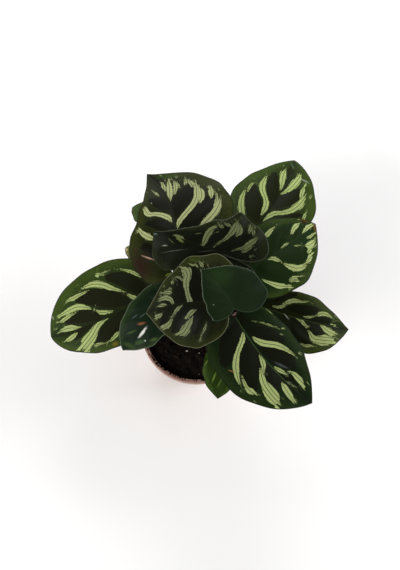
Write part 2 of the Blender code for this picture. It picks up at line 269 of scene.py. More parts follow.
class Graph:
    """The node tree of one material or of the surroundings, with the shader that it ends in."""

    def __init__(self, owner: bpy.types.Material | bpy.types.World, shader: str = "Principled BSDF") -> None:
        """Opens the tree.

        Args:
            owner: The material or surroundings.
            shader: Name of the shader's node.
        """
        self.owner = owner
        owner.use_nodes = True
        self.tree = owner.node_tree
        self.shader = self.tree.nodes[shader]

    def feed(self, socket: bpy.types.NodeSocket, value: object) -> None:
        """Sets or links one input.

        Args:
            socket: The input.
            value: A signal, an output socket, a colour, a vector or a number.
        """
        if isinstance(value, Signal):
            value = value.socket
        if isinstance(value, bpy.types.NodeSocket):
            self.tree.links.new(value, socket)
        elif socket.type == "RGBA":
            socket.default_value = (*value, 1.0)
        else:
            socket.default_value = value

    def node(self, kind: str, settings: dict | None = None, inputs: dict | None = None) -> bpy.types.Node:
        """Adds a node.

        Args:
            kind: Blender's type name.
            settings: Properties, set before the inputs.
            inputs: Values or links by socket name or number.

        Returns:
            The node.
        """
        node = self.tree.nodes.new(kind)
        for name, value in (settings or {}).items():
            setattr(node, name, value)
        for name, value in (inputs or {}).items():
            self.feed(node.inputs[name], value)
        return node

    def maths(self, operation: str, *values: Signal | float) -> Signal:
        """Adds a Math node.

        Args:
            operation: Blender's name for it.
            values: Its operands.

        Returns:
            The result.
        """
        node = self.node("ShaderNodeMath", {"operation": operation}, dict(enumerate(values)))
        return Signal(self, node.outputs[0])

    def vector(self, x: Signal | float, y: Signal | float, z: Signal | float = 0.0) -> bpy.types.NodeSocket:
        """Joins three numbers.

        Args:
            x: First part.
            y: Second part.
            z: Third part.

        Returns:
            The vector's socket.
        """
        return self.node("ShaderNodeCombineXYZ", None, {"X": x, "Y": y, "Z": z}).outputs[0]

    def parts(self, vector: bpy.types.NodeSocket) -> list[Signal]:
        """Splits a vector into its three numbers."""
        split = self.node("ShaderNodeSeparateXYZ", None, {0: vector})
        return [Signal(self, out) for out in split.outputs]

    def attribute(self, name: str) -> list[Signal]:
        """The three numbers of a vector that the mesh carries."""
        return self.parts(self.node("ShaderNodeAttribute", {"attribute_name": name}).outputs["Vector"])

    def place(self) -> bpy.types.NodeSocket:
        """Position in the object's own frame, in metres."""
        return self.node("ShaderNodeTexCoord").outputs["Object"]

    def noise(self, where: bpy.types.NodeSocket, scale: float, detail: float = 3.0,
              rough: float = 0.55) -> Signal:
        """Adds soft noise around 0.5.

        Args:
            where: Vector to read it at.
            scale: Features per unit.
            detail: Number of finer layers.
            rough: Strength of the finer layers.

        Returns:
            The noise, mostly between 0.25 and 0.75.
        """
        node = self.node(
            "ShaderNodeTexNoise", None,
            {"Vector": where, "Scale": scale, "Detail": detail, "Roughness": rough},
        )
        return Signal(self, node.outputs[0])

    def chance(self, number: Signal) -> Signal:
        """A random value from 0 to 1 for each different number."""
        node = self.node("ShaderNodeTexWhiteNoise", {"noise_dimensions": "1D"}, {"W": number})
        return Signal(self, node.outputs["Value"])

    def mix(self, low: object, high: object, factor: Signal | float) -> bpy.types.NodeSocket:
        """Blends two colours.

        Args:
            low: Colour at 0.
            high: Colour at 1.
            factor: Share of the second.

        Returns:
            The blend's socket.
        """
        node = self.node("ShaderNodeMix", {"data_type": "RGBA"}, {0: factor, 6: low, 7: high})
        return node.outputs[2]

    def tint(self, colour: object, value: Signal | float) -> bpy.types.NodeSocket:
        """Scales a colour by a number.

        Args:
            colour: The colour.
            value: The number.

        Returns:
            The product's socket.
        """
        node = self.node("ShaderNodeVectorMath", {"operation": "SCALE"}, {0: colour, "Scale": value})
        return node.outputs[0]

    def finish(self, colour: object, rough: Signal | float, height: Signal | None, depth: float,
               strength: float = 0.6) -> bpy.types.Material:
        """Feeds the shader.

        Args:
            colour: Base colour.
            rough: Roughness.
            height: Bump height from 0 to 1, or None for a plain surface.
            depth: Height of the bumps in metres.
            strength: Strength of the bump.

        Returns:
            The material.
        """
        self.feed(self.shader.inputs["Base Color"], colour)
        self.feed(self.shader.inputs["Roughness"], rough)
        if height is not None:
            sizes = {"Strength": strength, "Distance": depth, "Height": height}
            bump = self.node("ShaderNodeBump", None, sizes)
            self.feed(self.shader.inputs["Normal"], bump.outputs[0])
        return self.owner


def brightness(light: Sequence[float], *noises: Signal) -> Signal:
    """Adds up a light.

    Args:
        light: The least brightness, then what each noise adds.
        noises: The noises.

    Returns:
        The brightness.
    """
    total = light[0]
    for noise, share in zip(noises, light[1:]):
        total = total + noise * share
    return total


def bezier(points: Sequence[Point], t: np.ndarray) -> np.ndarray:
    """Points of a cubic curve.

    Args:
        points: Its four handles.
        t: Parameters from 0 to 1.

    Returns:
        One row for each parameter.
    """
    p0, p1, p2, p3 = (np.asarray(p, float) for p in points)
    t = np.asarray(t, float)[..., None]
    s = 1 - t
    return s**3 * p0 + 3 * s * s * t * p1 + 3 * s * t * t * p2 + t**3 * p3


def unit(vectors: np.ndarray) -> np.ndarray:
    """Vectors scaled to length one."""
    return vectors / np.linalg.norm(vectors, axis=-1, keepdims=True)


def run_length(points: np.ndarray) -> np.ndarray:
    """Distance along a line of points, from its first point."""
    steps = np.linalg.norm(np.diff(points, axis=0), axis=1)
    return np.concatenate([[0], np.cumsum(steps)])


def nearest(points: np.ndarray, line: np.ndarray) -> tuple[np.ndarray, np.ndarray]:
    """Finds the nearest point of a line for each point.

    Args:
        points: Flat points, of any leading shape.
        line: Points of the line.

    Returns:
        The distances, and the numbers of the nearest points.
    """
    flat = points.reshape(-1, 2)
    far = np.linalg.norm(flat[:, None] - line[None], axis=-1)
    index = far.argmin(axis=1)
    shape = points.shape[:-1]
    return far[np.arange(len(flat)), index].reshape(shape), index.reshape(shape)


def build_mesh(name: str, points: np.ndarray, faces: list,
               fields: dict[str, np.ndarray]) -> bpy.types.Object:
    """Makes a smooth mesh object from points in millimetres.

    Args:
        name: Name of the piece.
        points: Its points.
        faces: Point numbers of each face.
        fields: Vectors carried by the points, by name.

    Returns:
        The object.
    """
    mesh = bpy.data.meshes.new(name)
    mesh.from_pydata((points * MM).tolist(), [], faces)
    for label, values in fields.items():
        layer = mesh.attributes.new(label, "FLOAT_VECTOR", "POINT")
        layer.data.foreach_set("vector", np.ascontiguousarray(values, np.float32).ravel())
    mesh.shade_smooth()
    thing = bpy.data.objects.new(name, mesh)
    bpy.context.scene.collection.objects.link(thing)
    return thing


def settle(thing: bpy.types.Object, paint: bpy.types.Material, node: str) -> None:
    """Gives a piece its finish and its place in the model.

    Args:
        thing: The piece.
        paint: Its material.
        node: The node of the solids that it stands for.
    """
    thing.data.materials.append(paint)
    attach(thing, "root")
    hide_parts(node)


@dataclass(frozen=True)
class Band:
    """A marking that runs along the side veins.

    Each station holds the way along the margin and the way out from midrib to margin, both
    in percent, and the half-width in millimetres.
    """

    half: Half
    stations: tuple[tuple[float, float, float], ...]


@dataclass(frozen=True)
class Spot:
    """A mark on the upper face, at u along and v across the blade: a blemish, a painted glint or sheen, or a
    patch of painted shade.
    """

    u: float
    v: float
    radius: float
    colour: Colour
    stretch: float = 1.0
    turn: float = 0.0
    strength: float = 1.0


@dataclass(frozen=True)
class LeafColours:
    """Screen colours of one leaf's upper face. Where edge and rim are light, they are a painted highlight
    along the margin.
    """

    green: Colour = (52, 68, 30)
    margin: Colour = (62, 78, 34)
    dark: Colour = (26, 32, 18)
    pale: Colour = (150, 168, 98)
    edge: Colour = (24, 30, 14)
    rim: Colour = (30, 36, 20)
    rib: Colour = (22, 28, 14)
    under: Colour = (88, 36, 48)


@dataclass(frozen=True)
class LeafForm:
    """One leaf, in millimetres and degrees. Pairs hold the left half, then the right half."""

    name: str
    base: Point
    tip: Point
    width: Pair
    root: Pair
    lobe: Pair = (12, 12)
    sinus: Pair = (0.3, 0.3)
    broadest: Pair = (0.4, 0.4)
    full: Pair = (0.5, 0.5)
    point: Pair = (0.4, 0.4)
    arch: float = 6
    arch_skew: float = 0.4
    bend: float = 0
    fold: Pair = (10, 10)
    curl: Pair = (-25, -25)
    lobe_curl: Pair = (0, 0)
    wave: float = 0.8
    waves: float = 2.5
    ripple: Pair = (0.6, 0.6)
    ripples: float = 5
    ripple_start: float = 0
    rise: float = 0.55
    reach: float = 14
    hang: float = 6
    lean: Pair = (0, 0)
    over: Pair = (0, 0)
    colours: LeafColours = LeafColours()
    pale_bands: tuple[Band, ...] = ()
    dark_bands: tuple[Band, ...] = ()
    spots: tuple[Spot, ...] = ()


class BladeSurface:
    """The bent surface of one leaf's blade, in millimetres."""

    def __init__(self, form: LeafForm) -> None:
        """Works out the midrib.

        Args:
            form: The leaf.
        """
        self.form = form
        self.base = np.array(form.base, float)
        self.chord = np.array(form.tip, float) - self.base
        ahead = unit(self.chord)
        self.side = unit(np.cross([0, 0, 1], ahead))
        self.up = np.cross(ahead, self.side)
        self.arc_t = np.linspace(0, 1, MIDRIB_STEPS)
        arc = run_length(self.midrib(self.arc_t))
        self.length = arc[-1]
        self.arc_share = arc / self.length

    def midrib(self, t: np.ndarray) -> np.ndarray:
        """Finds points on the midrib.

        Args:
            t: Shares of its chord.

        Returns:
            The points.
        """
        form = self.form
        t = np.asarray(t, float)[..., None]
        hump = 4 * t * (1 - t)
        lean = 1 + form.arch_skew * (2 * t - 1)
        return self.base + self.chord * t + self.up * form.arch * hump * lean + self.side * form.bend * hump

    def frame(self, u: np.ndarray) -> tuple[np.ndarray, np.ndarray, np.ndarray, np.ndarray]:
        """Finds places on the midrib, which runs straight on behind the base.

        Args:
            u: Distances along it.

        Returns:
            The places, and the directions ahead, to the left and up there.
        """
        share = np.asarray(u, float) / self.length
        t = np.interp(np.clip(share, 0, 1), self.arc_share, self.arc_t)
        before, after = (np.clip(t + step, 0, 1) for step in (-MIDRIB_STEP, MIDRIB_STEP))
        ahead = unit(self.midrib(after) - self.midrib(before))
        place = self.midrib(t) + ahead * np.minimum(share, 0)[..., None] * self.length
        side = unit(self.side - ahead * np.sum(self.side * ahead, axis=-1, keepdims=True))
        return place, ahead, side, np.cross(ahead, side)

    def bend(self, half: Half, flat: np.ndarray, lift: np.ndarray | float) -> np.ndarray:
        """Bends flat points of one half.

        Args:
            half: The half.
            flat: Distances along and across the blade.
            lift: Height above the middle of the blade's thickness.

        Returns:
            World points.
        """
        form = self.form
        side = half.value
        u, v = flat[..., 0], flat[..., 1]
        across = v / form.width[side]
        near_base = np.clip(1 - u / (LOBE_SPAN * self.length), 0, LOBE_MOST)
        fold = math.radians(form.fold[side])
        curl = np.radians(form.curl[side] + form.lobe_curl[side] * near_base**LOBE_GROWTH)
        curl = np.where(np.abs(curl) < FLAT_CURL, FLAT_CURL, curl)
        end = fold + curl * across
        out = form.width[side] / curl * (np.sin(end) - math.sin(fold))
        rise = form.width[side] / curl * (math.cos(fold) - np.cos(end))
        swing = 2 * math.pi * form.waves * u / self.length + side * RIGHT_WAVE_SHIFT
        rise = rise + form.wave * across**2 * np.sin(swing)
        rise = rise + lift * np.cos(end)
        out = out - np.where(v > 0, lift * np.sin(end), 0)
        place, _, aside, normal = self.frame(u)
        sign = 1 - 2 * side
        return place + sign * aside * out[..., None] + normal * rise[..., None]

    def outline(self, half: Half) -> tuple[np.ndarray, np.ndarray]:
        """Draws the flat margin of one half, from the base round its lobe to the tip.

        Args:
            half: The half.

        Returns:
            Its points, and their shares of its length.
        """
        form = self.form
        side = half.value
        width, lobe, point = form.width[side], form.lobe[side], form.point[side]
        broad = form.broadest[side] * self.length
        lobe_handle = (-LOBE_HANDLE * lobe, form.sinus[side] * width)
        shoulder_handle = (SHOULDER_HANDLE * broad - lobe, width)
        side_handle = (broad + form.full[side] * (self.length - broad), width)
        tip_reach = TIP_REACH - TIP_REACH_BY_POINT * point
        tip_fullness = max(TIP_FULLNESS - TIP_FULLNESS_BY_POINT * point, TIP_LEAST)
        tip_handle = (self.length * tip_reach, width * tip_fullness)
        back = [(0, 0), lobe_handle, shoulder_handle, (broad, width)]
        front = [(broad, width), side_handle, tip_handle, (self.length, 0)]
        t = np.linspace(0, 1, OUTLINE_STEPS)
        points = np.concatenate([bezier(back, t), bezier(front, t[1:])])
        arc = run_length(points)
        arc = arc / arc[-1]
        swing = 2 * math.pi * form.ripples * arc + side * RIGHT_WAVE_SHIFT + form.ripple_start
        points[:, 1] *= 1 + form.ripple[side] / width * np.sin(swing) * np.sin(math.pi * arc**RIPPLE_ONSET)
        return points, arc

    def flat(self, half: Half, s: np.ndarray, q: np.ndarray) -> np.ndarray:
        """Flat points on the side veins.

        Args:
            half: The half.
            s: Shares of the margin, from the base round the lobe to the tip.
            q: Shares of the way from midrib to margin.

        Returns:
            Distances along and across the blade.
        """
        margin, arc = self.outline(half)
        end = np.stack([np.interp(s, arc, margin[:, axis]) for axis in (0, 1)], axis=-1)
        start = np.stack([self.length * s**VEIN_GATHER, 0 * s], axis=-1)
        gap = end - start
        back = np.stack([-np.abs(gap[..., 1]), np.maximum(gap[..., 0], 0)], axis=-1)
        middle = (start + end) / 2 + VEIN_BOW * back
        q = q[..., None]
        flat = (1 - q) ** 2 * start + 2 * q * (1 - q) * middle + q * q * end
        flat[..., 1] = np.maximum(flat[..., 1], 0)
        return flat


LEAVES = [
    LeafForm(
        "leaf_left", base=(-40, 27, 152), tip=(-152, -15, 122), width=(32.5, 59), root=(-21, 0),
        lobe=(12, 16), broadest=(0.47, 0.38), full=(0.32, 0.37), point=(-0.2, -0.65), fold=(5, 5),
        curl=(-25, -20), bend=7.3,
        colours=LeafColours(green=(44, 58, 26), margin=(60, 76, 30), dark=(28, 31, 17),
                            pale=(178, 194, 124)),
        pale_bands=(
            Band(RIGHT, ((63.5, 8, 2), (64, 13, 2), (63.5, 23, 0.4))),
            Band(RIGHT, ((63, 25, 0.4), (64.5, 42, 2.2), (64, 52, 3.8), (64.5, 62, 4), (66.5, 71, 3),
                        (72, 78, 0.4))),
            Band(RIGHT, ((71, 63, 0.2), (78.5, 72, 2.4), (80, 78, 2), (82.5, 82, 0.4))),
            Band(RIGHT, ((78.5, 7, 0.4), (82, 15, 2.4), (81.5, 28, 0.8))),
            Band(RIGHT, ((81.5, 30, 0.6), (82.5, 52, 3.2), (83.5, 58, 3.6), (87.5, 70, 2.2),
                        (89.5, 78, 0.4))),
            Band(RIGHT, ((85.5, 47, 0.2), (89.5, 57, 2.2), (91.5, 59, 1.8), (93, 68, 0.4))),
            Band(RIGHT, ((91.5, 2, 0.4), (92.5, 5, 1.4), (93.5, 18, 3.2), (95, 26, 2.8), (97, 33, 0.4))),
            Band(LEFT, ((92, 18, 0.4), (92, 37, 2.4), (92, 54, 2.4), (92, 77, 0.4))),
            Band(LEFT, ((82.5, 0, 0.4), (84.5, 3, 1.6), (85.5, 12, 3.2), (82.5, 63, 6.8), (81, 76, 5.4))),
            Band(LEFT, ((68.5, 49, 0.6), (68.5, 58, 2), (68.5, 72, 0.4))),
            Band(RIGHT, ((36.5, 35, 0.4), (38.5, 43, 1.4), (40, 54, 1.8), (46.5, 79, 0.2))),
            Band(RIGHT, ((49.5, 73, 0.2), (52.5, 76, 1), (55, 78, 0.2))),
            Band(RIGHT, ((53.5, 68, 0.2), (55.5, 71, 0.8), (57, 76, 0.2))),
            Band(LEFT, ((69.5, 69, 0.2), (72, 72, 1), (74.5, 74, 0.4))),
        ),
        dark_bands=(
            Band(RIGHT, ((50.5, 7, 2.8), (50.5, 20, 7.4), (51, 38, 8.6), (53.5, 53, 6.8), (56.5, 60, 4))),
            Band(RIGHT, ((68.5, 7, 2.2), (70.5, 17, 7), (72.5, 29, 9.2), (74, 43, 9.6), (76, 56, 8),
                        (78.5, 63, 4.4))),
            Band(RIGHT, ((84.5, 3, 1.8), (84.5, 17, 5), (86.5, 29, 6.4), (88.5, 39, 6), (91, 46, 3.2))),
            Band(LEFT, ((88.5, 2, 1.2), (90.5, 8, 3.2), (90.5, 31, 4), (90, 46, 2.2))),
            Band(LEFT, ((75.5, 2, 2.2), (76.5, 16, 5.6), (76.5, 33, 8), (76.5, 50, 7.8), (75.5, 64, 4.2))),
        ),
        spots=(
            Spot(60.6, 28.1, 2.6, (122, 108, 44), 1.4, -2, 0.7),
            Spot(118.8, -18.8, 0.8, (168, 178, 160), 3.2, -77, 0.8),
        ),
    ),
    LeafForm(
        "leaf_left_front", base=(-26, 14, 166), tip=(-75, -33, 139), width=(19, 29.5), root=(-10, -8),
        lobe=(10, 18), broadest=(0.47, 0.33), point=(0.5, 0), bend=2.7, full=(0.46, 0.5),
        # edge and rim: light colours, a painted highlight along the margin
        colours=LeafColours(green=(22, 36, 22), margin=(36, 52, 26), dark=(20, 32, 20), pale=(79, 107, 49),
                            edge=(84, 94, 76), rim=(190, 192, 170)),
        spots=(
            # painted glare and a painted glint
            Spot(43.9, 1.2, 1.7, (232, 234, 226), 4.1, 9, 1.0),
            Spot(47.4, 9.1, 0.9, (214, 222, 210), 1.0, 23, 0.9),
            # painted blue-grey sheen streaks
            Spot(38.3, -16.1, 1.1, (84, 100, 96), 4.3, -11, 0.5),
            Spot(31.2, -11.0, 0.9, (92, 108, 104), 5.2, -9, 0.45),
            Spot(38.2, -6.1, 1.6, (134, 88, 60), 3.0, -33, 0.85),
            Spot(52.1, -7.3, 1.3, (70, 98, 42), 5.0, -22, 0.6),
            Spot(52.5, 6.2, 2.6, (70, 96, 52), 2.6, -25, 0.6),
            Spot(40.4, 14.3, 1.8, (82, 108, 52), 2.6, -28, 0.5),
            Spot(64.2, 0.7, 3.0, (58, 80, 34), 2.8, -57, 0.6),
        ),
    ),
    LeafForm(
        "leaf_middle_domed", base=(21.5, -6, 228), tip=(-49, -6, 188), width=(43.8, 49.4), root=(-2, -2),
        lobe=(14, 20), broadest=(0.34, 0.15), full=(0.57, 0.46), point=(0.62, 0.78), arch=10,
        arch_skew=-0.2, fold=(-5, 0), curl=(-35, -12), bend=-1.5, ripple=(0.6, 1.9), ripple_start=-0.25,
        # edge and rim: light colours, a painted highlight along the margin
        colours=LeafColours(green=(25, 29, 12), margin=(38, 43, 16), dark=(15, 17, 9), pale=(126, 134, 94),
                            edge=(88, 88, 68), rim=(190, 190, 168)),
        pale_bands=(
            Band(RIGHT, ((75.5, 3, 3), (74.5, 20, 2), (72, 41, 2), (69, 57, 3.2), (65.5, 68, 4),
                        (64.5, 79, 5.2), (65.5, 90, 2))),
            Band(RIGHT, ((62.5, 78, 0.8), (65.5, 74, 0.6))),
            Band(RIGHT, ((71.5, 51, 0.4), (70, 69, 0.8), (70.5, 80, 1), (73.5, 83, 0.4))),
            Band(RIGHT, ((77, 71, 0.4), (76, 75, 1.6), (74.5, 73, 0.6))),
            Band(RIGHT, ((85.5, 7, 1.6), (85, 24, 1.8), (86, 44, 2.4), (88.5, 56, 1.6))),
            Band(RIGHT, ((83, 42, 0.4), (82, 50, 1.6), (83.5, 62, 1.6), (85.5, 74, 0.4))),
            Band(RIGHT, ((80.5, 58, 0.6), (80.5, 68, 1), (82, 72, 0.4))),
            Band(RIGHT, ((89.5, 4, 0.8), (91.5, 16, 2), (93, 31, 0.4))),
            Band(RIGHT, ((58, 72, 0.4), (58.5, 78, 1.6), (59.5, 83, 0.8))),
            Band(RIGHT, ((53.5, 72, 0.4), (53.5, 80, 1.4), (54.5, 86, 0.8))),
            Band(RIGHT, ((49, 72, 0.4), (49.5, 86, 0.4))),
            Band(LEFT, ((80.5, 5, 0.4), (81.5, 15, 1.8), (81.5, 45, 0.4))),
            Band(LEFT, ((80.5, 40, 0.4), (80.5, 53, 1.8), (80, 72, 2.4), (81, 84, 0.4))),
            Band(LEFT, ((66.5, 13, 0.4), (69.5, 18, 2), (70.5, 26, 1.6), (70.5, 35, 0.4))),
            Band(LEFT, ((68, 29, 0.4), (66.5, 54, 4.8), (66.5, 68, 4), (69.5, 82, 0.6))),
            Band(LEFT, ((49.5, 38, 0.4), (49, 47, 1.2), (49.5, 73, 0.4))),
            Band(LEFT, ((90, 19, 0.4), (89.5, 50, 2), (91, 63, 0.4))),
        ),
        dark_bands=(
            Band(RIGHT, ((71.5, 0, 3.2), (68.5, 20, 5.6), (65, 42, 6), (61.5, 62, 5.2), (60.5, 72, 2.4))),
            Band(RIGHT, ((82, 7, 4.4), (79, 33, 5.6), (74.5, 57, 5.4), (72.5, 74, 2.8))),
            Band(LEFT, ((76.5, 7, 2.8), (76.5, 23, 4.8), (75.5, 46, 5.2), (74.5, 66, 3.8), (74, 79, 1.6))),
            Band(LEFT, ((63.5, 14, 3.2), (63, 26, 5), (61, 42, 5.6), (58.5, 56, 4))),
            Band(LEFT, ((86.5, 14, 2.2), (86, 35, 3.6), (85, 63, 3.6), (84.5, 82, 2))),
        ),
        spots=(
            Spot(25.6, -43.5, 4.0, (50, 62, 20), 1.7, 18, 0.6),
        ),
    ),
    LeafForm(
        "leaf_crown", base=(35, -14, 236), tip=(3.7, 18.1, 256), width=(23.3, 37.6), root=(6, 8),
        lobe=(3.5, 13), sinus=(0.35, 0.35), broadest=(0.06, -0.03), full=(0.76, 0.61), point=(0.72, 1.0),
        arch=4, bend=-2.5, reach=10, hang=14, lean=(12, 6), over=(-8, 8),
        # edge and rim: light colours, a painted highlight along the margin
        colours=LeafColours(green=(25, 38, 20), margin=(22, 34, 18), dark=(20, 32, 18),
                            edge=(46, 60, 44), rim=(190, 196, 176), rib=(30, 46, 26)),
        spots=(
            Spot(16.5, 15.1, 0.6, (140, 156, 126), 1.3, -77, 0.9),
            Spot(32.8, -7.7, 12.0, (42, 64, 32), 1.0, 63, 0.4),
        ),
    ),
    LeafForm(
        "leaf_front_right", base=(39, -11, 188), tip=(115, -88, 148), width=(38.5, 46), root=(12, -10),
        lobe=(16, 20), broadest=(0.39, 0.35), full=(0.47, 0.36), point=(0.3, 0.38), arch=8, bend=-7.8,
        colours=LeafColours(green=(21, 33, 15), margin=(32, 45, 20), dark=(18, 21, 12), pale=(168, 182, 118),
                            edge=(20, 28, 14), rib=(58, 78, 42)),
        pale_bands=(
            Band(RIGHT, ((59.5, 3, 0.4), (61.5, 10, 2.4), (61.5, 20, 2.4), (60.5, 33, 2), (60, 57, 3.4),
                        (62.5, 85, 0.4))),
            Band(RIGHT, ((64, 62, 0.4), (66, 78, 1.6), (68, 80, 3.2), (70.5, 83, 0.8))),
            Band(RIGHT, ((77, 3, 0.4), (78.5, 7, 2), (79.5, 15, 2.4), (79.5, 28, 0.6))),
            Band(RIGHT, ((77.5, 25, 0.4), (78, 51, 3.6), (79, 59, 5.6), (80.5, 70, 6.6), (82, 82, 3.8))),
            Band(RIGHT, ((88.5, 17, 1.4), (89.5, 29, 3.6), (90.5, 46, 3.2), (91, 67, 0.8))),
            Band(LEFT, ((44.5, 23, 0.4), (45.5, 38, 0.4), (47.5, 47, 0.6), (49, 57, 0.8), (50.5, 78, 0.2))),
            Band(LEFT, ((65.5, 7, 0.4), (68, 11, 2), (69.5, 20, 3.2), (68.5, 48, 3.2), (72.5, 78, 0.4))),
            Band(LEFT, ((84, 5, 0.4), (85.5, 13, 2), (86.5, 25, 1))),
            Band(LEFT, ((85.5, 33, 0.8), (85.5, 44, 1.4), (87.5, 52, 2.8), (88.5, 58, 2.8),
                       (90.5, 67, 0.6))),
            Band(LEFT, ((90.5, 0, 0.8), (93.5, 20, 0.4))),
            Band(LEFT, ((25.5, 100, 0.4), (29, 100, 1.4), (33.5, 100, 0.8))),
        ),
        dark_bands=(
            Band(RIGHT, ((44.5, 0, 1.4), (48.5, 18, 7.6), (50.5, 37, 9), (51, 55, 6.8), (51, 67, 4))),
            Band(RIGHT, ((63.5, 0, 2), (68.5, 7, 6.8), (70.5, 22, 10), (70, 42, 10), (69.5, 60, 8.4),
                        (70.5, 68, 4))),
            Band(RIGHT, ((82.5, 6, 2), (83.5, 17, 6), (84, 30, 7.6), (84, 44, 4.8))),
            Band(LEFT, ((74, 9, 2), (75, 24, 5.6), (76.5, 38, 8), (79, 52, 7), (81.5, 57, 2.8))),
            Band(LEFT, ((57, 10, 2), (58.5, 22, 5.6), (60.5, 35, 6.8), (62, 48, 5.6), (62.5, 61, 2.8))),
            Band(LEFT, ((88.5, 2, 2), (88.5, 17, 3.2), (89, 31, 1.6))),
        ),
        spots=(
            # painted bluish glare, in two parts
            Spot(64.5, 8.1, 1.4, (84, 92, 96), 6.0, 20, 0.5),
            Spot(83.0, 2.0, 1.4, (62, 66, 62), 2.5, 18, 0.6),
            Spot(37.7, -32.7, 0.8, (150, 112, 72), 5.0, 41, 0.6),
            Spot(-0.9, -13.2, 6.0, (26, 48, 24), 1.3, 74, 0.6),
        ),
    ),
    LeafForm(
        "leaf_front_low", base=(30, -24, 138), tip=(22, -79, 116), width=(18.5, 20), root=(12, -22),
        lobe=(6, 6), broadest=(0.43, 0.45),
        colours=LeafColours(green=(38, 56, 16), margin=(58, 80, 26), rib=(50, 70, 30)),
        spots=(
            Spot(24.0, -17.1, 1.0, (112, 140, 60), 3.7, -25, 0.8),
            Spot(37.4, -6.9, 1.1, (116, 146, 62), 5.5, -13, 0.8),
            Spot(42.5, -0.5, 0.8, (104, 134, 56), 7.5, -19, 0.7),
            Spot(21.2, -18.8, 2.2, (34, 52, 16), 2.8, 2, 0.7),
        ),
    ),
    LeafForm(
        "leaf_right", base=(63, 11, 154), tip=(158, -9, 130), width=(28, 33), root=(22, -2),
        lobe=(10, 10), broadest=(0.48, 0.56), full=(0.34, 0.39), point=(0.5, 0.22), bend=-4.2,
        colours=LeafColours(green=(36, 48, 20), margin=(56, 66, 28), dark=(19, 23, 9), pale=(170, 184, 118),
                            rib=(50, 66, 34)),
        pale_bands=(
            Band(LEFT, ((57.5, 10, 0.4), (62.5, 13, 1.2), (64, 22, 1.6), (64.5, 31, 0.4))),
            Band(LEFT, ((61.5, 25, 0.4), (61, 38, 1.6), (61.5, 50, 2.4), (66.5, 63, 0.8), (67.5, 75, 0.4))),
            Band(LEFT, ((81.5, 11, 0.4), (83, 17, 1.2), (83.5, 41, 0.4))),
            Band(LEFT, ((83.5, 41, 0.4), (82, 59, 2), (83, 70, 2), (85.5, 72, 1.6), (88.5, 68, 0.8))),
            Band(RIGHT, ((78.5, 0, 0.4), (81, 2, 1.2), (81.5, 8, 1.8), (81.5, 23, 0.4))),
            Band(RIGHT, ((80.5, 30, 0.4), (79.5, 45, 1.6), (77.5, 60, 3.6), (81.5, 73, 5.8),
                        (84, 85, 3.4))),
            Band(RIGHT, ((90, 6, 0.4), (90, 42, 4), (90.5, 57, 3.8), (91, 68, 1))),
            Band(RIGHT, ((65.5, 70, 0.4), (66.5, 77, 0.8), (69.5, 78, 1.4), (70, 84, 0.4))),
            Band(LEFT, ((92.5, 25, 0.8), (93.5, 32, 0.4))),
        ),
        dark_bands=(
            Band(LEFT, ((50.5, 28, 1.4), (50.5, 43, 3.2), (49.5, 62, 3.2), (50.5, 78, 2))),
            Band(LEFT, ((68.5, 24, 2.8), (71.5, 31, 4), (76, 37, 5.2), (77.5, 52, 4.4), (77.5, 64, 2))),
            Band(LEFT, ((85.5, 3, 2), (86.5, 13, 3.6), (89.5, 45, 2))),
            Band(RIGHT, ((77.5, 6, 2.8), (76, 23, 6.8), (73.5, 45, 8.8), (71.5, 62, 6), (71.5, 71, 2))),
            Band(RIGHT, ((84.5, 11, 2), (85, 23, 5.4), (85, 36, 5.4), (84.5, 51, 3.2))),
        ),
        spots=(
            # painted glint
            Spot(30.6, -1.6, 0.8, (170, 178, 168), 5.0, -36, 0.7),
            Spot(96.9, 0.4, 1.6, (66, 46, 26), 2.1, -18, 0.6),
        ),
    ),
    LeafForm(
        "leaf_right_upper", base=(51, 38, 188), tip=(122, 92, 172), width=(36, 42), root=(16, 8),
        lobe=(12, 20), broadest=(0.31, 0.37), full=(0.5, 0.35), point=(0.23, 0.55), bend=-3,
        colours=LeafColours(green=(28, 46, 18), margin=(50, 64, 26), dark=(28, 42, 18), pale=(184, 198, 130),
                            rib=(40, 56, 28)),
        pale_bands=(
            Band(LEFT, ((66.5, 55, 2.6), (68.5, 64, 2), (72.5, 76, 0.2))),
            Band(LEFT, ((81.5, 2, 0.2), (84, 3, 1.6), (85.5, 9, 0.4))),
            Band(RIGHT, ((85.5, 21, 0.2), (85.5, 30, 1), (85, 42, 0.4))),
            Band(LEFT, ((86.5, 33, 0.6), (86.5, 53, 1.8), (88, 67, 2.4), (89.5, 75, 0.8))),
            Band(LEFT, ((93, 0, 0.4), (94.5, 7, 2.4), (96, 32, 2.4), (97.5, 40, 0.6))),
            Band(RIGHT, ((90, 40, 0.2), (90.5, 55, 1.6), (92.5, 68, 1.2), (93.5, 75, 0.2))),
            Band(RIGHT, ((85, 59, 0.8), (84.5, 69, 4.2), (85.5, 79, 3.4), (87.5, 91, 0.6))),
            Band(RIGHT, ((79.5, 73, 0.8), (81, 77, 2), (82.5, 85, 0.6))),
            Band(RIGHT, ((70.5, 72, 0.2), (72.5, 80, 1.2), (75.5, 84, 2.4), (77.5, 89, 0.4))),
            Band(RIGHT, ((69.5, 0, 0.2), (72.5, 6, 1.6), (72.5, 16, 2), (70.5, 36, 0.2))),
            Band(RIGHT, ((70, 37, 0.2), (67.5, 61, 3.6), (67.5, 71, 3.8), (70, 88, 0.2))),
            Band(RIGHT, ((58.5, 67, 0.8), (60, 71, 1.6), (61, 82, 0.4))),
            Band(RIGHT, ((54.5, 70, 0.2), (56.5, 72, 1), (58, 80, 0.2))),
            Band(RIGHT, ((45, 36, 1), (47.5, 60, 2.4), (48.5, 71, 2.2), (49.5, 74, 1.4), (51, 82, 0.2))),
        ),
        dark_bands=(
            Band(LEFT, ((72, 21, 2.4), (75.5, 28, 6), (79.5, 40, 7.6), (82.5, 53, 5.8), (83.5, 63, 3.2))),
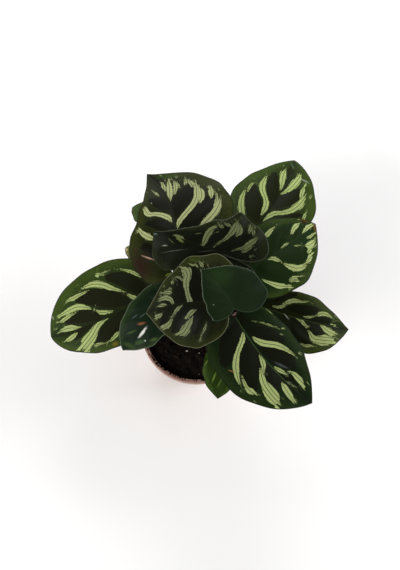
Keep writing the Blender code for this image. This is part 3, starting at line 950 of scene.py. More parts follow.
            Band(LEFT, ((86.5, 3, 2.4), (89.5, 1, 4.6), (91.5, 11, 4.2))),
            Band(RIGHT, ((77.5, 6, 2), (78.5, 24, 5.8), (78.5, 42, 7.6), (78.5, 61, 7.6), (77.5, 73, 4.6))),
            Band(RIGHT, ((61.5, 15, 6), (61.5, 34, 7.2), (61, 52, 6), (59.5, 64, 3))),
        ),
        spots=(
            Spot(80.2, 8.9, 1.7, (34, 18, 8), 1.8, -61, 0.95),
            Spot(82.4, 10.2, 2.6, (92, 56, 30), 2.2, -49, 0.5),
            Spot(86.3, -2.4, 1.2, (128, 78, 38), 4.7, 51, 0.7),
        ),
    ),
    LeafForm(
        "leaf_back_right", base=(59, 86, 170), tip=(107, 180, 134), width=(45, 44), root=(10, 18),
        lobe=(12, 12), full=(0.38, 0.19), point=(0.47, 0.22), bend=-5.3, broadest=(0.3, 0.4),
        colours=LeafColours(green=(44, 56, 22), margin=(56, 74, 26), dark=(24, 28, 10),
                            pale=(172, 190, 118)),
        pale_bands=(
            Band(LEFT, ((37.5, 43, 2.8), (42.5, 53, 4), (52, 70, 2), (55.5, 77, 0.4))),
            Band(LEFT, ((56.5, 67, 0.4), (60, 73, 1.2), (63.5, 75, 1.2), (65.5, 73, 0.4))),
            Band(LEFT, ((62.5, 7, 0.4), (68.5, 11, 2.8), (71.5, 16, 2.8), (71.5, 30, 2.4),
                       (70.5, 47, 3.6), (71.5, 59, 3.6), (76.5, 76, 0.4))),
            Band(LEFT, ((84.5, 6, 0.4), (86.5, 13, 1.8), (88.5, 29, 4), (90, 38, 3.6), (92.5, 45, 0.8))),
            Band(RIGHT, ((82.5, 0, 0.4), (84.5, 28, 3.6), (86.5, 42, 4.8), (87.5, 57, 3.2),
                        (88.5, 62, 0.8))),
            Band(RIGHT, ((72, 62, 0.6), (76.5, 65, 2.6), (80.5, 72, 0.4))),
            Band(RIGHT, ((59, 0, 0.4), (65, 4, 2.4), (68, 14, 2.6), (66.5, 29, 2.2), (66, 45, 2.8),
                        (67.5, 59, 4.8), (72, 77, 0.6))),
            Band(RIGHT, ((53.5, 75, 0.8), (57, 76, 1.6), (59.5, 81, 0.4))),
        ),
        dark_bands=(
            Band(LEFT, ((54.5, 8, 2.6), (54.5, 21, 7.6), (57.5, 34, 8.6), (61, 47, 8.4),
                       (63.5, 58, 5.2), (64.5, 65, 2.2))),
            Band(LEFT, ((77, 4, 2.6), (78, 17, 5.6), (79.5, 33, 6.6), (81.5, 50, 5.6), (83, 62, 2.8))),
            Band(RIGHT, ((74.5, 0, 2.2), (77, 10, 7.4), (78, 28, 9.2), (78, 45, 8.4), (78, 57, 4.4))),
            Band(RIGHT, ((59, 17, 1.2), (60.5, 35, 2.2), (60.5, 53, 2.6), (59.5, 66, 1.6))),
        ),
        spots=(
            # painted whitish sheen near the tip, in two parts
            Spot(83.1, -17.4, 1.5, (150, 160, 138), 4.4, 80, 0.6),
            Spot(100.7, 0.1, 2.0, (84, 106, 66), 3.3, 26, 0.5),
        ),
    ),
    LeafForm(
        "leaf_centre_folded", base=(27, 47, 208), tip=(-40.8, 69.1, 214), width=(36.8, 44), root=(2, 14),
        lobe=(42, 41), sinus=(-0.15, -0.05), broadest=(0.33, 0.0), full=(0.72, 0.0), point=(-1.56, 2.4),
        arch=5, fold=(-22, 12), curl=(-42, -15), lobe_curl=(52, 0), wave=1.4, waves=3.5, ripple=(2.0, 2.0),
        ripples=5.8, ripple_start=-0.8,
        # edge and rim: light colours, a painted highlight along the margin
        colours=LeafColours(green=(20, 25, 14), margin=(30, 35, 19), dark=(15, 17, 10), pale=(104, 112, 74),
                            edge=(56, 60, 48), rim=(180, 184, 166)),
        pale_bands=(
            Band(RIGHT, ((65.5, 11, 0.4), (61, 32, 0.8), (57.5, 41, 1.2), (55.5, 51, 2.2),
                        (54.5, 63, 3), (54.5, 75, 2.2), (56, 83, 0.6))),
            Band(RIGHT, ((50.5, 49, 0.4), (49.5, 62, 3.2), (51.5, 72, 2.2), (53.5, 77, 0.4))),
            Band(RIGHT, ((38.5, 18, 0.4), (34.5, 38, 1.2), (36, 55, 2.8), (36.5, 71, 2.2),
                        (37.5, 82, 0.6))),
            Band(RIGHT, ((30.5, 37, 0.4), (31.5, 47, 1.8), (33, 59, 0.8))),
            Band(RIGHT, ((44, 73, 0.8), (44.5, 83, 2), (45, 89, 0.4))),
            Band(RIGHT, ((39.5, 73, 0.4), (41.5, 82, 1.6), (43.5, 91, 0.4))),
            Band(RIGHT, ((63, 76, 0.6), (64.5, 82, 1.8), (65.5, 90, 0.4))),
            Band(RIGHT, ((57.5, 71, 0.6), (60, 83, 1.6), (62.5, 96, 0.4))),
            Band(RIGHT, ((77.5, 0, 0.4), (75, 9, 1.8), (73, 53, 2.8), (70.5, 68, 2.8), (68, 72, 0.8))),
            Band(RIGHT, ((92, 9, 0.4), (90, 3, 2), (87.5, 0, 2.6), (86.5, 0, 0.4))),
            Band(RIGHT, ((23.5, 60, 1.6), (23, 64, 1.2))),
        ),
        dark_bands=(
            Band(RIGHT, ((70.5, 14, 1.2), (68, 33, 2.6), (63, 60, 6.6), (58.5, 65, 5.2), (57.5, 70, 2.8))),
            Band(RIGHT, ((59.5, 7, 1.8), (50.5, 23, 4), (45.5, 46, 5.6), (41.5, 62, 4.8), (40, 70, 2.8))),
            Band(RIGHT, ((83.5, 0, 1.8), (81.5, 17, 4.8), (78.5, 48, 4.8), (76, 62, 2.2))),
        ),
        spots=(
            # painted bluish glint on the curled edge
            Spot(70.6, 2.2, 0.8, (116, 132, 126), 2.7, 17, 0.7),
            # painted sheen line along a fold
            Spot(48.9, 13.9, 0.6, (78, 82, 70), 24.2, 25, 0.8),
            Spot(45.8, 1.2, 1.5, (114, 120, 68), 3.3, -18, 0.8),
            Spot(53.1, 5.0, 0.6, (92, 100, 60), 7.3, -24, 0.7),
            Spot(30.8, -10.3, 0.6, (88, 94, 58), 6.2, 30, 0.7),
            # painted glare
            Spot(58.5, 10.9, 0.7, (150, 158, 140), 4.3, 17, 0.8),
            # painted sheen line along a fold
            Spot(17.7, 3.1, 0.6, (66, 70, 60), 16.1, 26, 0.6),
        ),
    ),
    LeafForm(
        "leaf_back_left", base=(-19, 62, 190), tip=(-54, 163, 136), width=(54.2, 61.3), root=(-4, 21),
        lobe=(38, 19.7), sinus=(0.12, 0.3), broadest=(0.05, 0.31), full=(-0.06, 0.61), point=(0.64, 0.84),
        arch=10, arch_skew=-0.8, bend=-9.5, lobe_curl=(-34, 0), wave=1.6, ripple=(1.28, 1.28), ripples=6.74,
        ripple_start=-1.61,
        colours=LeafColours(green=(31, 36, 14), margin=(45, 50, 18), dark=(17, 18, 9), pale=(170, 177, 124),
                            rim=(110, 112, 92)),
        pale_bands=(
            Band(RIGHT, ((62.5, 2, 0.6), (66.5, 8, 2.6), (67.5, 22, 2.8), (67.5, 38, 3.2),
                        (68.5, 49, 2.8), (71.5, 62, 2.6), (74.5, 76, 1))),
            Band(RIGHT, ((65, 47, 0.6), (66, 57, 3.6), (68.5, 66, 2.6), (70.5, 72, 0.6))),
            Band(RIGHT, ((50, 35, 1.4), (51.5, 46, 3.6), (52.5, 72, 3.6), (54.5, 85, 0.4))),
            Band(RIGHT, ((52.5, 60, 0.4), (54.5, 69, 1.4), (57.5, 78, 1.2), (60.5, 79, 0.6))),
            Band(RIGHT, ((60.5, 66, 1.2), (62.5, 72, 3), (64.5, 79, 0.8))),
            Band(RIGHT, ((81.5, 0, 0.4), (84.5, 7, 3.4), (87.5, 24, 3.2), (89.5, 56, 0.8))),
            Band(RIGHT, ((82.5, 21, 0.8), (84, 40, 2.4), (86.5, 68, 0.4))),
            Band(RIGHT, ((88.5, 0, 0.4), (90.5, 7, 2.4), (92.5, 31, 1))),
            Band(RIGHT, ((81.5, 43, 0.4), (83, 52, 1.2), (84, 59, 0.4))),
            Band(RIGHT, ((79, 59, 0.8), (79.5, 69, 1.6), (80.5, 75, 0.4))),
            Band(RIGHT, ((74.5, 61, 0.4), (76.5, 70, 2.4), (78.5, 78, 0.8))),
            Band(LEFT, ((84.5, 32, 0.4), (85.5, 43, 1.6), (86.5, 62, 0.4))),
            Band(LEFT, ((66.5, 7, 0.8), (70, 13, 3.8), (70.5, 31, 2.8), (69.5, 52, 2.8),
                       (67.5, 69, 4.2), (69.5, 82, 0.6))),
            Band(LEFT, ((51.5, 49, 2.8), (52.5, 59, 4), (55.5, 83, 0.4))),
        ),
        dark_bands=(
            Band(RIGHT, ((72.5, 0, 1.8), (74.5, 5, 5.6), (76, 19, 8.8), (76.5, 39, 8.8), (76.5, 55, 4.8))),
            Band(RIGHT, ((60.5, 7, 2.8), (60.5, 19, 6), (60.5, 35, 8.8), (60, 52, 9.2), (60, 65, 4.6))),
            Band(LEFT, ((77.5, 7, 3.6), (77.5, 30, 6.4), (79.5, 50, 6), (78.5, 68, 2.8))),
            Band(LEFT, ((62.5, 8, 2.4), (62.5, 27, 6.4), (62.5, 47, 6), (61, 67, 2.8))),
            Band(LEFT, ((45, 61, 4.4), (41.5, 50, 6))),
        ),
        spots=(
            # painted shade over the drooping left lobe, dark brown
            Spot(-16.6, 41.7, 16.0, (36, 23, 13), 1.1, 29, 0.95),
            # painted pinkish glare stripe
            Spot(-8.8, 30.6, 0.8, (178, 148, 124), 10.4, 64, 0.9),
            Spot(1.3, 44.4, 2.2, (58, 34, 18), 1.3, 37, 0.7),
            Spot(60.9, 18.3, 0.5, (196, 204, 186), 2.0, 18, 0.9),
            Spot(108.6, -8.9, 0.9, (136, 176, 96), 2.4, 7, 0.7),
            Spot(100.8, -13.7, 4.0, (48, 74, 26), 3.4, 49, 0.6),
        ),
    ),
    LeafForm(
        "leaf_back_left_low", base=(-39, 106, 132), tip=(-70, 128, 126), width=(14, 14), root=(-16, 16),
        lobe=(5, 5),
        colours=LeafColours(green=(64, 82, 42), margin=(74, 90, 48), rib=(80, 96, 60)),
        spots=(
            Spot(24.2, 2.4, 0.6, (170, 182, 156), 22.5, -58, 0.8),
        ),
    ),
    LeafForm(
        "leaf_left_low", base=(-50, 68, 120), tip=(-77, 82, 124), width=(12, 12), root=(-24, 8),
        lobe=(5, 5),
        colours=LeafColours(green=(104, 110, 62), margin=(150, 140, 100), rib=(120, 120, 80)),
        spots=(
            Spot(30.4, 1.0, 1.6, (196, 184, 146), 2.1, -22, 0.8),
        ),
    ),
    LeafForm(
        "leaf_new", base=(-22, 30.5, 188), tip=(-32, 30.5, 194), width=(5, 5), root=(-14, 3),
        lobe=(2, 2), arch=1, fold=(35, 35), curl=(20, 20), wave=0, reach=6, hang=8,
        colours=LeafColours(green=(98, 112, 42), margin=(116, 128, 56), rib=(130, 150, 70)),
    ),
]


@dataclass(frozen=True)
class BandField:
    """What the finish reads of the bands at each point, in millimetres.

    depth is how far inside the nearest edge the point lies, slope how fast the depth falls
    along the band, lane a running number of the band's strips, and run the way along it.
    """

    depth: np.ndarray
    slope: np.ndarray
    lane: np.ndarray
    run: np.ndarray


def smooth_column(column: np.ndarray) -> np.ndarray:
    """Fills in one value of the stations and rounds its corners.

    Args:
        column: The value at each station.

    Returns:
        The value at even steps between them.
    """
    fine = np.linspace(0, len(column) - 1, BAND_STEPS * (len(column) - 1) + 1)
    filled = np.interp(fine, np.arange(len(column)), column)
    padded = np.pad(filled, BAND_BLUR // 2, mode="reflect", reflect_type="odd")
    return np.convolve(padded, np.ones(BAND_BLUR) / BAND_BLUR, "valid")


def read_bands(surface: BladeSurface, half: Half, flat: np.ndarray, bands: Iterable[Band]) -> BandField:
    """Measures points of one half against its bands.

    Args:
        surface: The blade.
        half: The half.
        flat: Flat points of that half.
        bands: Markings, of either half.

    Returns:
        The fields, with a large negative depth where the half has no band.
    """
    shape = flat.shape[:-1]
    depth = np.full(shape, NO_BAND)
    slope, lane, run_at = np.zeros(shape), np.zeros(shape), np.zeros(shape)
    for number, band in enumerate(bands):
        if band.half is not half:
            continue
        share, reach, wide = (smooth_column(column) for column in np.array(band.stations).T)
        line = surface.flat(half, share / PERCENT, np.clip(reach / PERCENT, 0, 1))
        run = run_length(line)
        heading = unit(np.gradient(line, axis=0))
        fall = -np.gradient(wide) / np.maximum(np.gradient(run), LEAST_RUN)
        fall[-1] = 1.0
        far, index = nearest(flat, line)
        offset = flat - line[index]
        lateral = offset[..., 0] * heading[index, 1] - offset[..., 1] * heading[index, 0]
        inside = wide[index] - far
        better = inside > depth
        depth = np.where(better, inside, depth)
        slope = np.where(better, np.clip(fall[index], *FALLS), slope)
        lane = np.where(better, lateral / LANE_WIDTH + LANE_START * (number + 1), lane)
        run_at = np.where(better, run[index], run_at)
    return BandField(depth, slope, lane, run_at)


class LeafFields:
    """What varies over one leaf: the fields that its mesh carries, and the noises over them."""

    def __init__(self, graph: Graph, finish: "LeafFinish") -> None:
        """Reads the fields and adds the noises.

        Args:
            graph: The leaf's graph.
            finish: Sizes of the noises.
        """
        self.margin, self.reach, strip = graph.attribute("vein")
        self.depth, self.slope, lane = graph.attribute("marks")
        self.oval, self.oval_slope, run = graph.attribute("ovals")
        self.u, self.v, self.face = graph.attribute("flat")
        place = graph.place()
        self.cloud = graph.noise(place, finish.cloud_scale)
        self.mottle = graph.noise(place, finish.mottle_scale, detail=4.0)
        across, along = finish.grain_scale
        self.grain = graph.noise(graph.vector(strip * across, self.reach * along), 1.0, rough=0.6)
        across, along = finish.bar_scale
        self.bars = graph.noise(graph.vector(lane * across, run * along), 1.0, detail=2.0, rough=0.6)
        self.thread = (strip / finish.strip).off_middle()
        self.brush = graph.chance((strip / finish.strip).whole())
        self.gutter = lane.off_middle().rise(*finish.gutter_edge)
        self.finger = graph.chance(lane.whole())
        self.hair = graph.chance((lane * finish.hairs).whole())
        rung = run * finish.rungs + self.bars.swing(finish.rung_sway)
        self.tooth = graph.chance(rung.whole() + lane.whole() * finish.tooth_step)
        self.ladder = rung.off_middle().rise(*finish.rung_edge)


@dataclass(frozen=True)
class LeafFinish:
    """Dark ovals and pale streaks along the veins, a green margin and a purple underside.

    Each edge is a pair: where its mask is 0 and where it is 1. Each light is the least
    brightness and what each noise adds.
    """

    # Noises, and the lanes that comb the streaks
    cloud_scale: float = 55.0
    mottle_scale: float = 520.0
    grain_scale: Pair = (0.5, 22.0)
    bar_scale: Pair = (0.8, 1.9)
    strip: float = 2.0
    hairs: int = 4
    rungs: float = 0.9
    rung_sway: float = 0.6
    rung_edge: Pair = (0.55, 1.0)
    rung_dark: float = 0.22
    tooth_step: int = 7
    gutter_edge: Pair = (0.72, 0.92)
    gutter_light: float = 0.55
    gutter_strength: float = 0.95

    # Green between the markings
    margin_sway: float = 0.4
    margin_edge: Pair = (0.66, 0.94)
    green_light: Point = (0.58, 0.5, 0.34)
    thread_edge: Pair = (0.6, 1.0)
    thread_dark: float = 0.2

    # Dark ovals, and the dark core along the midrib
    oval_fray: float = 1.8
    oval_mottle: float = 1.0
    oval_grain: float = 0.8
    oval_spread: float = 0.4
    oval_edge: Pair = (-0.5, 0.4)
    core: float = 0.7
    core_sway: float = 0.3
    core_edge: Pair = (0.5, 0.2)
    dark_light: Point = (0.66, 0.4, 0.28)

    # Pale streaks, and the hairs that they end in
    comb: float = 6.0
    comb_middle: float = 0.42
    streak_bars: float = 1.3
    streak_mottle: float = 0.5
    streak_edge: Pair = (-0.22, 0.34)
    teeth: float = 0.6
    fray: float = 2.6
    spread: float = 0.12
    tail: float = 2.6
    tail_edge: Pair = (0.0, 2.4)
    tail_hair: Pair = (0.5, 0.8)
    tail_ending: Pair = (0.2, 0.7)
    tail_strength: float = 0.5
    pale_light: tuple[float, ...] = (0.70, 0.42, 0.3, 0.12)

    # Midrib, rim and spots: blemishes, painted glints, painted sheen and painted shade
    rib_edge: Pair = (0.65, 0.25)
    rib_fade: Pair = (1.0, 0.45)
    rib_strength: float = 0.8
    rim_sway: float = 0.5
    rim_edge: Pair = (1.15, 0.5)
    spot_sway: float = 0.9
    spot_edge: Pair = (1.3, 0.2)

    # From the upper face, 0, over the rim, 1, to the underside, 2
    rim_face: Pair = (0.35, 0.8)
    under_face: Pair = (1.25, 1.75)
    under_light: Point = (0.66, 0.5, 0.2)
    under_dark: float = 0.5
    under_shade: float = 0.7

    # Roughness, gloss and relief
    rough: float = 0.36
    rough_sway: float = 0.2
    streak_rough: float = 0.1
    under_rough: float = 0.55
    gloss: float = 0.035
    relief: Point = (0.5, 0.4, 0.3)
    relief_edge: Pair = (0.5, 1.0)
    depth: float = 0.00012
    bump: float = 0.55

    def green(self, graph: Graph, read: LeafFields, tones: dict[str, Colour]) -> bpy.types.NodeSocket:
        """Colour between the markings, lighter along the margin, with fine side veins.

        Args:
            graph: The leaf's graph.
            read: What varies over the leaf.
            tones: The leaf's linear colours.

        Returns:
            The colour.
        """
        margin = (read.reach + read.mottle.swing(self.margin_sway)).rise(*self.margin_edge)
        colour = graph.mix(tones["green"], tones["margin"], margin)
        colour = graph.tint(colour, brightness(self.green_light, read.cloud, read.mottle))
        return graph.tint(colour, 1 - read.thread.rise(*self.thread_edge) * self.thread_dark)

    def ovals(self, read: LeafFields, marked: bool) -> Signal:
        """Mask of the dark ovals, frayed along the side veins.

        Args:
            read: What varies over the leaf.
            marked: Whether the leaf has ovals, and so is dark along its midrib too.

        Returns:
            The mask.
        """
        mask = read.oval + read.brush.swing(self.oval_fray) * read.oval_slope
        mask = mask + read.mottle.swing(self.oval_mottle) + read.grain.swing(self.oval_grain)
        mask = (mask + self.oval_spread).rise(*self.oval_edge)
        if marked:
            core = (read.reach + read.mottle.swing(self.core_sway)).rise(*self.core_edge)
            mask = mask.most(core * self.core)
        return mask

    def streaks(self, read: LeafFields) -> Signal:
        """Mask of the pale streaks: combed into lanes, toothed, and frayed where they end.

        Args:
            read: What varies over the leaf.

        Returns:
            The mask.
        """
        ragged = read.depth + (read.finger - self.comb_middle) * self.comb * read.slope
        ragged = ragged + read.bars.swing(self.streak_bars) + read.mottle.swing(self.streak_mottle)
        ragged = ragged + read.tooth.swing(self.teeth)
        ending = read.slope.most(0)
        ragged = ragged + read.hair.swing(self.fray) * ending + self.spread
        tail = (ragged + ending * self.tail).rise(*self.tail_edge) * read.hair.rise(*self.tail_hair)
        tail = tail * ending.rise(*self.tail_ending) * self.tail_strength
        return ragged.rise(*self.streak_edge).most(tail)

    def pale(self, graph: Graph, read: LeafFields, tones: dict[str, Colour]) -> bpy.types.NodeSocket:
        """Colour of the streaks, with faint rungs across them and green between their lanes.

        Args:
            graph: The leaf's graph.
            read: What varies over the leaf.
            tones: The leaf's linear colours.

        Returns:
            The colour.
        """
        noises = (read.bars, read.mottle - NOISE_MIDDLE, read.finger - NOISE_MIDDLE)
        colour = graph.tint(tones["pale"], brightness(self.pale_light, *noises))
        colour = graph.tint(colour, 1 - read.ladder * self.rung_dark)
        between = dimmed(tones["green"], self.gutter_light)
        return graph.mix(colour, between, read.gutter * self.gutter_strength)

    def paint(self, form: LeafForm, length: float) -> bpy.types.Material:
        """Makes the material of one leaf.

        Args:
            form: The leaf, with its colours.
            length: Length of its midrib in millimetres.

        Returns:
            The material.
        """
        graph = Graph(bpy.data.materials.new(form.name + "_finish"))
        tones = {name: linear(value) for name, value in vars(form.colours).items()}
        read = LeafFields(graph, self)
        shade = self.ovals(read, bool(form.dark_bands))
        dark = graph.tint(tones["dark"], brightness(self.dark_light, read.cloud, read.grain))
        body = graph.mix(self.green(graph, read, tones), dark, shade)
        streak = self.streaks(read)
        body = graph.mix(body, self.pale(graph, read, tones), streak)
        rib = read.v.size().rise(*self.rib_edge) * (read.u / length).rise(*self.rib_fade)
        body = graph.mix(body, tones["rib"], rib * self.rib_strength)
        # A thin line along the margin; where a leaf's edge colour is light it is a painted highlight.
        edge = (read.margin + read.mottle.swing(self.rim_sway)).rise(*self.rim_edge)
        body = graph.mix(body, tones["edge"], edge)
        # Spots: blemishes, painted glints and sheen, and painted shade.
        for spot in form.spots:
            body = self.add_spot(graph, body, spot, read)
        under = graph.tint(tones["under"], brightness(self.under_light, read.cloud, read.grain))
        under = graph.mix(under, dimmed(tones["under"], self.under_dark), shade * self.under_shade)
        # The rounded rim; its light colour on some leaves is a painted highlight.
        body = graph.mix(body, tones["rim"], read.face.rise(*self.rim_face))
        below = read.face.rise(*self.under_face)
        body = graph.mix(body, under, below)
        rough = self.rough + read.mottle.swing(self.rough_sway) + streak * self.streak_rough
        rough = rough + below * (self.under_rough - self.rough)
        by_thread, by_grain, by_mottle = self.relief
        height = (1 - read.thread.rise(*self.relief_edge)) * by_thread
        height = height + read.grain * by_grain + read.mottle * by_mottle
        graph.shader.inputs["Specular IOR Level"].default_value = self.gloss
        return graph.finish(body, rough, height, self.depth, self.bump)

    def add_spot(self, graph: Graph, body: bpy.types.NodeSocket, spot: Spot,
                 read: LeafFields) -> bpy.types.NodeSocket:
        """Lays one spot over the colour: a blemish, a painted glint or sheen, or painted shade.

        Args:
            graph: The leaf's graph.
            body: Colour so far.
            spot: The blemish, painted glint, painted sheen or painted shade.
            read: What varies over the leaf.

        Returns:
            The new colour.
        """
        turn = math.radians(spot.turn)
        du, dv = read.u - spot.u, read.v - spot.v
        ahead = (du * math.cos(turn) + dv * math.sin(turn)) / spot.stretch
        aside = dv * math.cos(turn) - du * math.sin(turn)
        far = (ahead**2 + aside**2) ** 0.5 / spot.radius + read.mottle.swing(self.spot_sway)
        return graph.mix(body, linear(spot.colour), far.rise(*self.spot_edge) * spot.strength)


class Skin:
    """A closed skin while it is put together: its points, what they carry, and its faces."""

    def __init__(self) -> None:
        """Starts without points."""
        self.points: list[np.ndarray] = []
        self.fields: dict[str, list[np.ndarray]] = {}
        self.faces: list[list[int]] = []
        self.count = 0

    def add(self, points: np.ndarray, fields: dict[str, tuple]) -> np.ndarray:
        """Adds points.

        Args:
            points: The points, of any leading shape.
            fields: Three values for each point, or one for all, by the field's name.

        Returns:
            The points' numbers, in the same shape.
        """
        shape = points.shape[:-1]
        numbers = np.arange(self.count, self.count + math.prod(shape)).reshape(shape)
        self.count += numbers.size
        self.points.append(points.reshape(-1, 3))
        for name, parts in fields.items():
            rows = np.stack([np.broadcast_to(part, shape) for part in parts], axis=-1)
            self.fields.setdefault(name, []).append(rows.reshape(-1, 3))
        return numbers

    def join(self, inner: np.ndarray, outer: np.ndarray, flip: bool) -> None:
        """Adds the faces between two lines of points, without collapsed corners.

        Args:
            inner: Point numbers of one line.
            outer: Point numbers of the other.
            flip: Whether the faces turn the other way.
        """
        for edge in zip(inner[:-1], outer[:-1], outer[1:], inner[1:]):
            face = list(dict.fromkeys(edge))
            if len(face) > 2:
                self.faces.append(face[::-1] if flip else face)

    def build(self, name: str) -> bpy.types.Object:
        """Makes the piece from the points that its faces use.

        Args:
            name: Name of the piece.

        Returns:
            The object.
        """
        used = np.unique(np.concatenate([np.array(face) for face in self.faces]))
        renumber = np.zeros(self.count, int)
        renumber[used] = np.arange(len(used))
        faces = [[int(renumber[corner]) for corner in face] for face in self.faces]
        fields = {label: np.concatenate(rows)[used] for label, rows in self.fields.items()}
        return build_mesh(name, np.concatenate(self.points)[used], faces, fields)


@dataclass
class FineLeaf:
    """One leaf's blade as a fine closed skin, and its stalk as a round one."""

    form: LeafForm
    rows: int = 116
    columns: int = 42
    small_rows: int = 48
    small_columns: int = 16
    stalk_sides: int = 16
    stalk_steps: int = 70
    stalk_smoothings: int = 3
    rib_steps: int = 30
    rib_start: float = 0.86
    rib_radius: float = 0.9
    rib_tip_radius: float = 0.3
    rib_sink: float = 0.85
    swelling: float = 1.65
    slender: float = 1.2
    foot_radius: float = 1.75
    swelling_length: float = 9.0
    swelling_middle: float = 0.45
    swelling_spread: float = 0.5
    finish: LeafFinish = field(default_factory=LeafFinish)

    def __post_init__(self) -> None:
        """Works out the blade's surface."""
        self.surface = BladeSurface(self.form)
        self.small = self.surface.length < SMALL_LENGTH
        if self.small:
            self.rows, self.columns = self.small_rows, self.small_columns

    def cells(self, half: Half, s: np.ndarray) -> np.ndarray:
        """Numbers the side veins: whole at the middle of a dark oval.

        Args:
            half: The half.
            s: Shares of the margin.

        Returns:
            Running numbers for those shares.
        """
        ovals = [band for band in self.form.dark_bands if band.half is half]
        anchors = sorted(band.stations[-1][0] / PERCENT for band in ovals)
        if len(anchors) < 2:
            anchors = list(PLAIN_OVALS)
        gap = anchors[1] - anchors[0]
        first = anchors[0]
        while first - gap > FIRST_OVAL:
            first -= gap
            anchors.insert(0, first)
        anchors.append(1.0)
        return np.interp(s, anchors, np.arange(len(anchors)), left=-0.5)

    def swell(self, half: Half, s: np.ndarray, q: np.ndarray) -> np.ndarray:
        """Low quilting of the blade between its side veins.

        Args:
            half: The half.
            s: Shares of the margin.
            q: Shares of the way from midrib to margin.

        Returns:
            Heights in millimetres.
        """
        height = VEIN_SWELL * np.cos(2 * math.pi * self.cells(half, s)) * np.sin(math.pi * q)
        return height * min(1, self.surface.length / FULL_SWELL_LENGTH)

    def build_blade(self) -> bpy.types.Object:
        """Builds the blade: both faces and a rounded rim, with the fields that its finish reads.

        Returns:
            The piece.
        """
        surface = self.surface
        s = np.linspace(0, 1, self.rows + 1)
        grid_s, grid_q = np.meshgrid(s, np.linspace(0, 1, self.columns + 1), indexing="ij")
        gathered = surface.length * s**VEIN_GATHER < WELD
        skin = Skin()
        spine: dict[int, np.ndarray] = {}
        for half in Half:
            flat = surface.flat(half, grid_s, grid_q)
            margin, arc = surface.outline(half)
            dense = np.linspace(0, 1, BORDER_STEPS)
            border = np.stack([np.interp(dense, arc, margin[:, axis]) for axis in (0, 1)], axis=-1)
            to_edge = nearest(flat, border)[0]
            pale = read_bands(surface, half, flat, self.form.pale_bands)
            dark = read_bands(surface, half, flat, self.form.dark_bands)
            swell = self.swell(half, grid_s, grid_q)
            strip = grid_s * run_length(margin)[-1] + half.value * HALF_SHIFT
            across = (1 - 2 * half.value) * flat[..., 1]
            right = half is Half.RIGHT
            sheets = []
            for face, lift in enumerate((BLADE_THICKNESS / 2, -BLADE_THICKNESS / 2)):
                points = surface.bend(half, flat, lift + swell)
                numbers = skin.add(points, {
                    "vein": (to_edge, grid_q, strip),
                    "marks": (pale.depth, pale.slope, pale.lane),
                    "ovals": (dark.depth, dark.slope, pale.run),
                    "flat": (flat[..., 0], across, 2 * face),
                })
                numbers[0] = numbers[0, 0]
                numbers[-1] = numbers[-1, 0]
                numbers[gathered, 0] = numbers[0, 0]
                if right:
                    numbers[:, 0] = spine[face]
                    numbers[0], numbers[-1] = spine[face][0], spine[face][-1]
                else:
                    spine[face] = numbers[:, 0].copy()
                for column in range(self.columns):
                    skin.join(numbers[:, column], numbers[:, column + 1], right != (face == 1))
                sheets.append((points, numbers))
            (top, above), (bottom, below) = sheets
            outward = unit(top[:, -1] - top[:, -3] + TINY)
            rim = (top[:, -1] + bottom[:, -1]) / 2 + outward * RIM_SWELL
            rim[0] = (top[0, 0] + bottom[0, 0]) / 2
            rim[-1] = (top[-1, 0] + bottom[-1, 0]) / 2
            numbers = skin.add(rim, {
                "vein": (0, 1, strip[:, -1]),
                "marks": (NO_BAND, 0, 0),
                "ovals": (NO_BAND, 0, 0),
                "flat": (flat[:, -1, 0], across[:, -1], 1),
            })
            if right:
                numbers[0], numbers[-1] = spine[2][0], spine[2][-1]
            else:
                spine[2] = numbers.copy()
            skin.join(above[:, -1], numbers, right)
            skin.join(numbers, below[:, -1], right)
        return skin.build(self.form.name + "_blade")

    def stalk_line(self) -> tuple[np.ndarray, np.ndarray]:
        """Leads the stalk from the ridge under the blade to the foot in the soil.

        Returns:
            The points of its middle line, and its radii there.
        """
        form, surface = self.form, self.surface
        share = SMALL_JOINT_SHARE if self.small else JOINT_SHARE
        joint_u = share**ROW_CROWDING * surface.length
        place, _, _, normal = (line[0] for line in surface.frame(np.array([joint_u])))
        joint = place - normal * (CAD_THICKNESS / 2 + RIB_DEPTH * (1 - share) ** RIB_TAPER)
        _, ahead, _, normal = (line[0] for line in surface.frame(np.array([0.0])))
        soil = np.array([*form.root, STALK_SOIL_HEIGHT], float)
        head = joint - normal * JOINT_DROP - ahead * JOINT_BACK
        high = head - ahead * form.reach + np.array([*form.over, -form.hang])
        low = soil + np.array([*form.lean, (surface.base[2] - soil[2]) * form.rise])
        drop = bezier([head, high, low, soil], np.linspace(0, 1, self.stalk_steps))
        shrink = min(1.0, surface.length / FULL_STALK_LENGTH)
        u = np.linspace(self.rib_start * surface.length, joint_u, self.rib_steps)
        radii = np.linspace(self.rib_tip_radius, self.rib_radius, self.rib_steps) * shrink
        place, _, _, normal = surface.frame(u)
        ridge = place - normal * (BLADE_THICKNESS / 2 + self.rib_sink * radii)[:, None]
        foot = soil - np.array([0, 0, STALK_DEPTH])
        line = np.concatenate([ridge, drop, [foot]])
        run = run_length(drop)
        stout = self.slender + (self.foot_radius - self.slender) * (run / run[-1]) ** 2
        middle = self.swelling_middle * self.swelling_length
        bulge = np.exp(-(((run - middle) / (self.swelling_spread * self.swelling_length)) ** 2))
        radii = np.concatenate([radii, stout + (self.swelling - self.slender) * bulge, [self.foot_radius]])
        return line, radii

